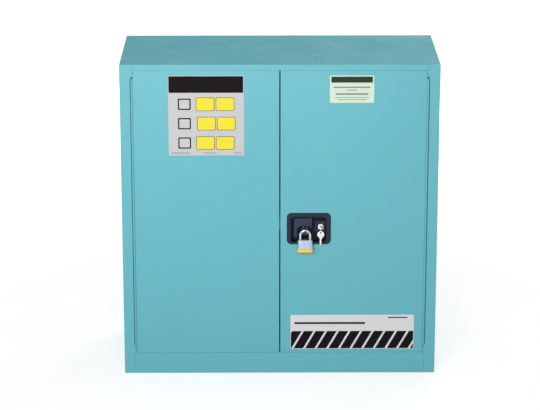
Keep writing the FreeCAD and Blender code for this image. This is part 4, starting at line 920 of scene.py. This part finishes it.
def bumper():
    """Moulded foot of the padlock, with a lip round the lowest plate and a keyhole below."""
    low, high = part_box("padlock_bumper")
    middle = (low + high) / 2
    wide, thick = high.x - low.x, high.y - low.y
    rows = []
    for height, inset in ((0.0, 3.2), (0.25, 2.0), (1.0, 0.9), (2.4, 0.15), (4.0, 0.0), (11.5, 0.0),
                          (12.6, 0.25), (13.2, 0.8), (13.5, 1.6)):
        corner = (6.2 - 0.4 * inset) * MM
        outline = rounded_rectangle(wide - 2 * inset * MM, thick - 2 * inset * MM, corner, 8)
        rows.append([Vector((middle.x + x, middle.y + y, low.z + height * MM)) for x, y in outline])
    keyhole = in_metres([(5.6, 0.0), (7.2, 0.0), (7.2, -0.01), (5.6, -0.01)])
    ring = lathe(keyhole, (middle.x, middle.y, low.z), hollow=True)
    panel = placed(cutout([rounded_rectangle(34 * MM, 5.4 * MM, 1.4 * MM)], 0.3 * MM, 0.08 * MM),
                   Matrix.Translation((middle.x, low.y, middle.z - 0.4 * MM)) @ UPRIGHT)
    keep_mesh("padlock_bumper_moulding", joined([loft(rows), ring, panel]), yellow_moulding,
              "padlock", ("padlock_bumper",))


def shackle():
    """Hardened bow: legs and arch as one round bar with chamfered ends."""
    low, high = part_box("padlock_shackle")
    middle = (low + high) / 2
    radius = (high.y - low.y) / 2
    bend = (high.x - low.x) / 2 - radius
    arch_z = high.z - radius - bend
    short_end, chamfer = low.z + 15 * MM, 0.8 * MM
    path = [Vector((-bend, 0, low.z)), Vector((-bend, 0, low.z + chamfer))]
    path += [Vector((-bend, 0, low.z + (arch_z - low.z) * k / 6)) for k in range(1, 6)]
    path += [Vector((-bend * math.cos(angle), 0, arch_z + bend * math.sin(angle)))
             for angle in (math.pi * k / 28 for k in range(29))]
    path += [Vector((bend, 0, short_end + (arch_z - short_end) * k / 5)) for k in range(4, 0, -1)]
    path += [Vector((bend, 0, short_end + chamfer)), Vector((bend, 0, short_end))]
    rows = []
    for k, point in enumerate(path):
        ahead = (path[min(k + 1, len(path) - 1)] - path[max(k - 1, 0)]).normalized()
        out = Vector((ahead.z, 0, -ahead.x))
        size = radius - (chamfer if k in (0, len(path) - 1) else 0.0)
        centre = Vector((middle.x, middle.y, 0)) + point
        rows.append([centre + out * x + Vector(BACKWARD) * y for x, y in ring_of(28, size)])
    keep_mesh("padlock_bow", loft(rows), chrome, "shackle", ("padlock_shackle",))


padlock()
bumper()
shackle()


# Feet, grounding bolt, weld marks and the trim of the door openings

def levelling_feet():
    """A moulded pad and a threaded stud for each foot."""
    pad = in_metres([(0.0, 0.0), (17.0, 0.0), (19.2, 0.6), (20.0, 2.0), (20.0, 4.2), (19.0, 4.8),
                     (19.0, 5.2), (19.8, 5.8), (19.6, 7.2), (17.5, 8.6), (13.0, 9.4), (8.6, 9.7),
                     (8.4, 10.0), (0.0, 10.0)])
    ridges = thread(10.4, 31.0, crest=5.0, root=4.45, rise=0.75, pitch=1.5)
    stud = in_metres([(0.0, 9.8), (5.0, 9.8)] + ridges + [(4.2, 32.0), (0.0, 32.0)])
    for word in ("front_left", "rear_left", "front_right", "rear_right"):
        node = f"{word}_foot"
        low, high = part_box(node)
        place = ((low.x + high.x) / 2, (low.y + high.y) / 2, low.z)
        keep_mesh(f"{node}_pad", lathe(pad, place, count=48), foot_rubber, node)
        keep_mesh(f"{node}_stud", lathe(stud, place, count=28), zinc, node, (node,))


def ground_thread():
    """Thread of the grounding stud, and the washer under its nuts."""
    low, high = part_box("ground_stud")
    x, z = (low.x + high.x) / 2, (low.z + high.z) / 2
    length = high.y - low.y
    ridges = thread(1.0 * MM, length - 1.2 * MM, crest=4.0 * MM, root=3.45 * MM, rise=0.6 * MM,
                    pitch=1.25 * MM)
    stud = in_metres([(0.0, 0.0), (3.3, 0.0), (3.9, 0.6)]) + ridges
    stud += [(3.2 * MM, length), (0.0, length)]
    keep_mesh("ground_thread", lathe(stud, (x, low.y, z), BACKWARD, 24), brass, "cabinet",
              ("ground_stud",))
    washer = in_metres([(4.3, 0.0), (8.0, 0.0), (8.2, 0.15), (8.2, 0.5), (4.3, 0.5)])
    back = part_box("back_panel")[1].y
    mesh = lathe(washer, (x, back, z), BACKWARD, hollow=True)
    keep_mesh("ground_washer", mesh, brass, "cabinet")


def weld_marks():
    """Rows of small flush welds where the back sheet meets the sides' flanges."""
    low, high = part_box("back_panel")
    mark = in_metres([(0.0, 0.02), (2.4, 0.05), (3.0, 0.28), (3.7, 0.30), (4.4, -0.05)])
    count, edge, end = 12, 11 * MM, 40 * MM
    dots = []
    for side in (-1, 1):
        for k in range(count):
            z = low.z + end + k * (high.z - low.z - 2 * end) / (count - 1)
            dots.append(lathe(mark, (side * (high.x - edge), high.y, z), BACKWARD, 18))
    keep_mesh("back_weld_marks", joined(dots), outer_coat, "cabinet")


def trim_strip(across, up, thickness, corner, bevel, depth):
    """A thin flat strip behind the doors' faces, between two distances across and two heights."""
    outline = rounded_rectangle(across[1] - across[0], up[1] - up[0], corner, 3)
    place = Matrix.Translation(((across[0] + across[1]) / 2, FRONT + depth, (up[0] + up[1]) / 2))
    return placed(cutout([outline], thickness, bevel), place @ UPRIGHT)


def door_edge_trim():
    """Lips beyond the hinges' ends, and the stops seen in the gaps over and under the doors."""
    skin_low, skin_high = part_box("right_door_skin")
    leaf_low, leaf_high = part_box("right_hinge_frame_leaf")
    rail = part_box("sill_rail")[1].z
    gap = skin_low.z - rail
    head = skin_high.z + gap
    lip_inner, lip_outer, clear = skin_high.x + 0.9 * MM, FRAME_EDGE + 0.2 * MM, 4.2 * MM
    half_stop = 0.65 * MM
    lips, stops = [], []
    for side in (-1, 1):
        across = sorted((side * lip_inner, side * lip_outer))
        for up in ((rail, leaf_low.z - clear), (leaf_high.z + clear, head)):
            lips.append(trim_strip(across, up, 1.2 * MM, 0.8 * MM, 0.25 * MM, 0.65 * MM))
        across = sorted((side * skin_low.x, side * skin_high.x))
        for level in (rail + gap / 2, head - gap / 2):
            up = (level - half_stop, level + half_stop)
            stops.append(trim_strip(across, up, 1.2 * MM, 0.3 * MM, 0.2 * MM, 1.9 * MM))
    keep_mesh("hinge_end_lips", joined(lips), outer_coat, "cabinet")
    keep_mesh("door_gap_stops", joined(stops), outer_coat, "cabinet")


levelling_feet()
ground_thread()
weld_marks()
door_edge_trim()


# Camera, floor and light

def put_camera():
    """The photograph's view: a long lens above the cabinet's top, turned down to the front."""
    data = bpy.data.cameras.new("camera")
    data.sensor_width = 36.0
    data.lens = 146.68
    data.shift_x = -0.008
    data.shift_y = -0.05
    camera = bpy.data.objects.new("camera", data)
    camera.location = (-0.066, -7.5, 2.833)
    camera.rotation_euler = (math.radians(90 - 16.22), 0.0, math.radians(-0.37))
    bpy.context.scene.collection.objects.link(camera)
    bpy.context.scene.camera = camera


def seen_directly(tree):
    """One for camera, glossy and transmission rays."""
    path = add_node(tree, "LightPath").outputs
    both = calc(tree, "MAXIMUM", path["Is Camera Ray"], path["Is Glossy Ray"])
    return calc(tree, "MAXIMUM", both, path["Is Transmission Ray"])


def lay_floor():
    """A pale floor that stays white where it is lit and keeps the cabinet's shadow."""
    reach = 40.0
    corners = [(-reach, -reach, 0), (reach, -reach, 0), (reach, reach, 0), (-reach, reach, 0)]
    mesh = bpy.data.meshes.new("floor")
    mesh.from_pydata(corners, [], [(0, 1, 2, 3)])
    floor = bpy.data.objects.new("floor", mesh)
    bpy.context.scene.collection.objects.link(floor)
    material = bpy.data.materials.new("floor_white")
    material.use_nodes = True
    tree = material.node_tree
    tree.nodes.clear()
    tone = noise(tree, own_place(tree), 3.0, 4.0, 0.6)
    pale = mix_colour(tree, tone, rgb(0.41, 0.41, 0.41), rgb(0.45, 0.45, 0.45))
    matte = add_node(tree, "BsdfDiffuse", {0: pale})
    away = vector(tree, "LENGTH", own_place(tree))
    near, far, near_glow, white = 1.2, 3.0, 0.65, 1.0
    glow = product(tree, seen_directly(tree), remap(tree, away, near, far, near_glow, white))
    lift = add_node(tree, "Emission", {0: rgb(1, 1, 1), 1: glow})
    both = add_node(tree, "AddShader", {0: matte.outputs[0], 1: lift.outputs[0]})
    output = add_node(tree, "OutputMaterial")
    tree.links.new(both.outputs[0], output.inputs[0])
    mesh.materials.append(material)


def light_world():
    """A white backdrop that lights the cabinet with a soft fill, fainter from overhead."""
    world = bpy.data.worlds.new("studio")
    world.use_nodes = True
    tree = world.node_tree
    tree.nodes.clear()
    height = along_axes(tree, add_node(tree, "TexCoord").outputs["Generated"])[2]
    low_fill, high_fill = 0.60, 0.29
    strength = remap(tree, height, 0.15, 0.85, low_fill, high_fill)
    fill = add_node(tree, "Background", {0: rgb(0.95, 0.98, 1.0), 1: strength})
    white = add_node(tree, "Background", {0: rgb(1, 1, 1), 1: 1.0})
    inputs = {0: seen_directly(tree), 1: fill.outputs[0], 2: white.outputs[0]}
    chosen = add_node(tree, "MixShader", inputs)
    output = add_node(tree, "OutputWorld")
    tree.links.new(chosen.outputs[0], output.inputs[0])
    bpy.context.scene.world = world


def hang_light(name, place, target, size, power):
    """A softbox turned to a target. Its size is across and up, and its power is in watts."""
    data = bpy.data.lights.new(name, "AREA")
    data.shape = "RECTANGLE"
    data.size, data.size_y = size
    data.energy = power
    light = bpy.data.objects.new(name, data)
    light.location = place
    light.rotation_euler = (Vector(target) - Vector(place)).to_track_quat("-Z", "Y").to_euler()
    bpy.context.scene.collection.objects.link(light)


put_camera()
lay_floor()
light_world()
hang_light("key_light", (-0.60, -3.1, 1.70), (-0.02, -0.2, 1.05), (1.9, 0.8), 73.5)
hang_light("back_light", (1.7, 2.6, 3.4), (0.0, 0.2, 0.8), (2.2, 1.6), 45.0)
hang_light("low_back_light", (0.4, 3.9, 0.55), (0.0, 0.2, 0.5), (2.4, 0.8), 50.0)
for name, side in (("left_light", -1), ("right_light", 1)):
    hang_light(name, (side * 3.9, 0.5, 0.55), (side * 0.5, 0.1, 0.5), (1.8, 0.8), 32.0)
bpy.context.scene.view_settings.view_transform = "Standard"
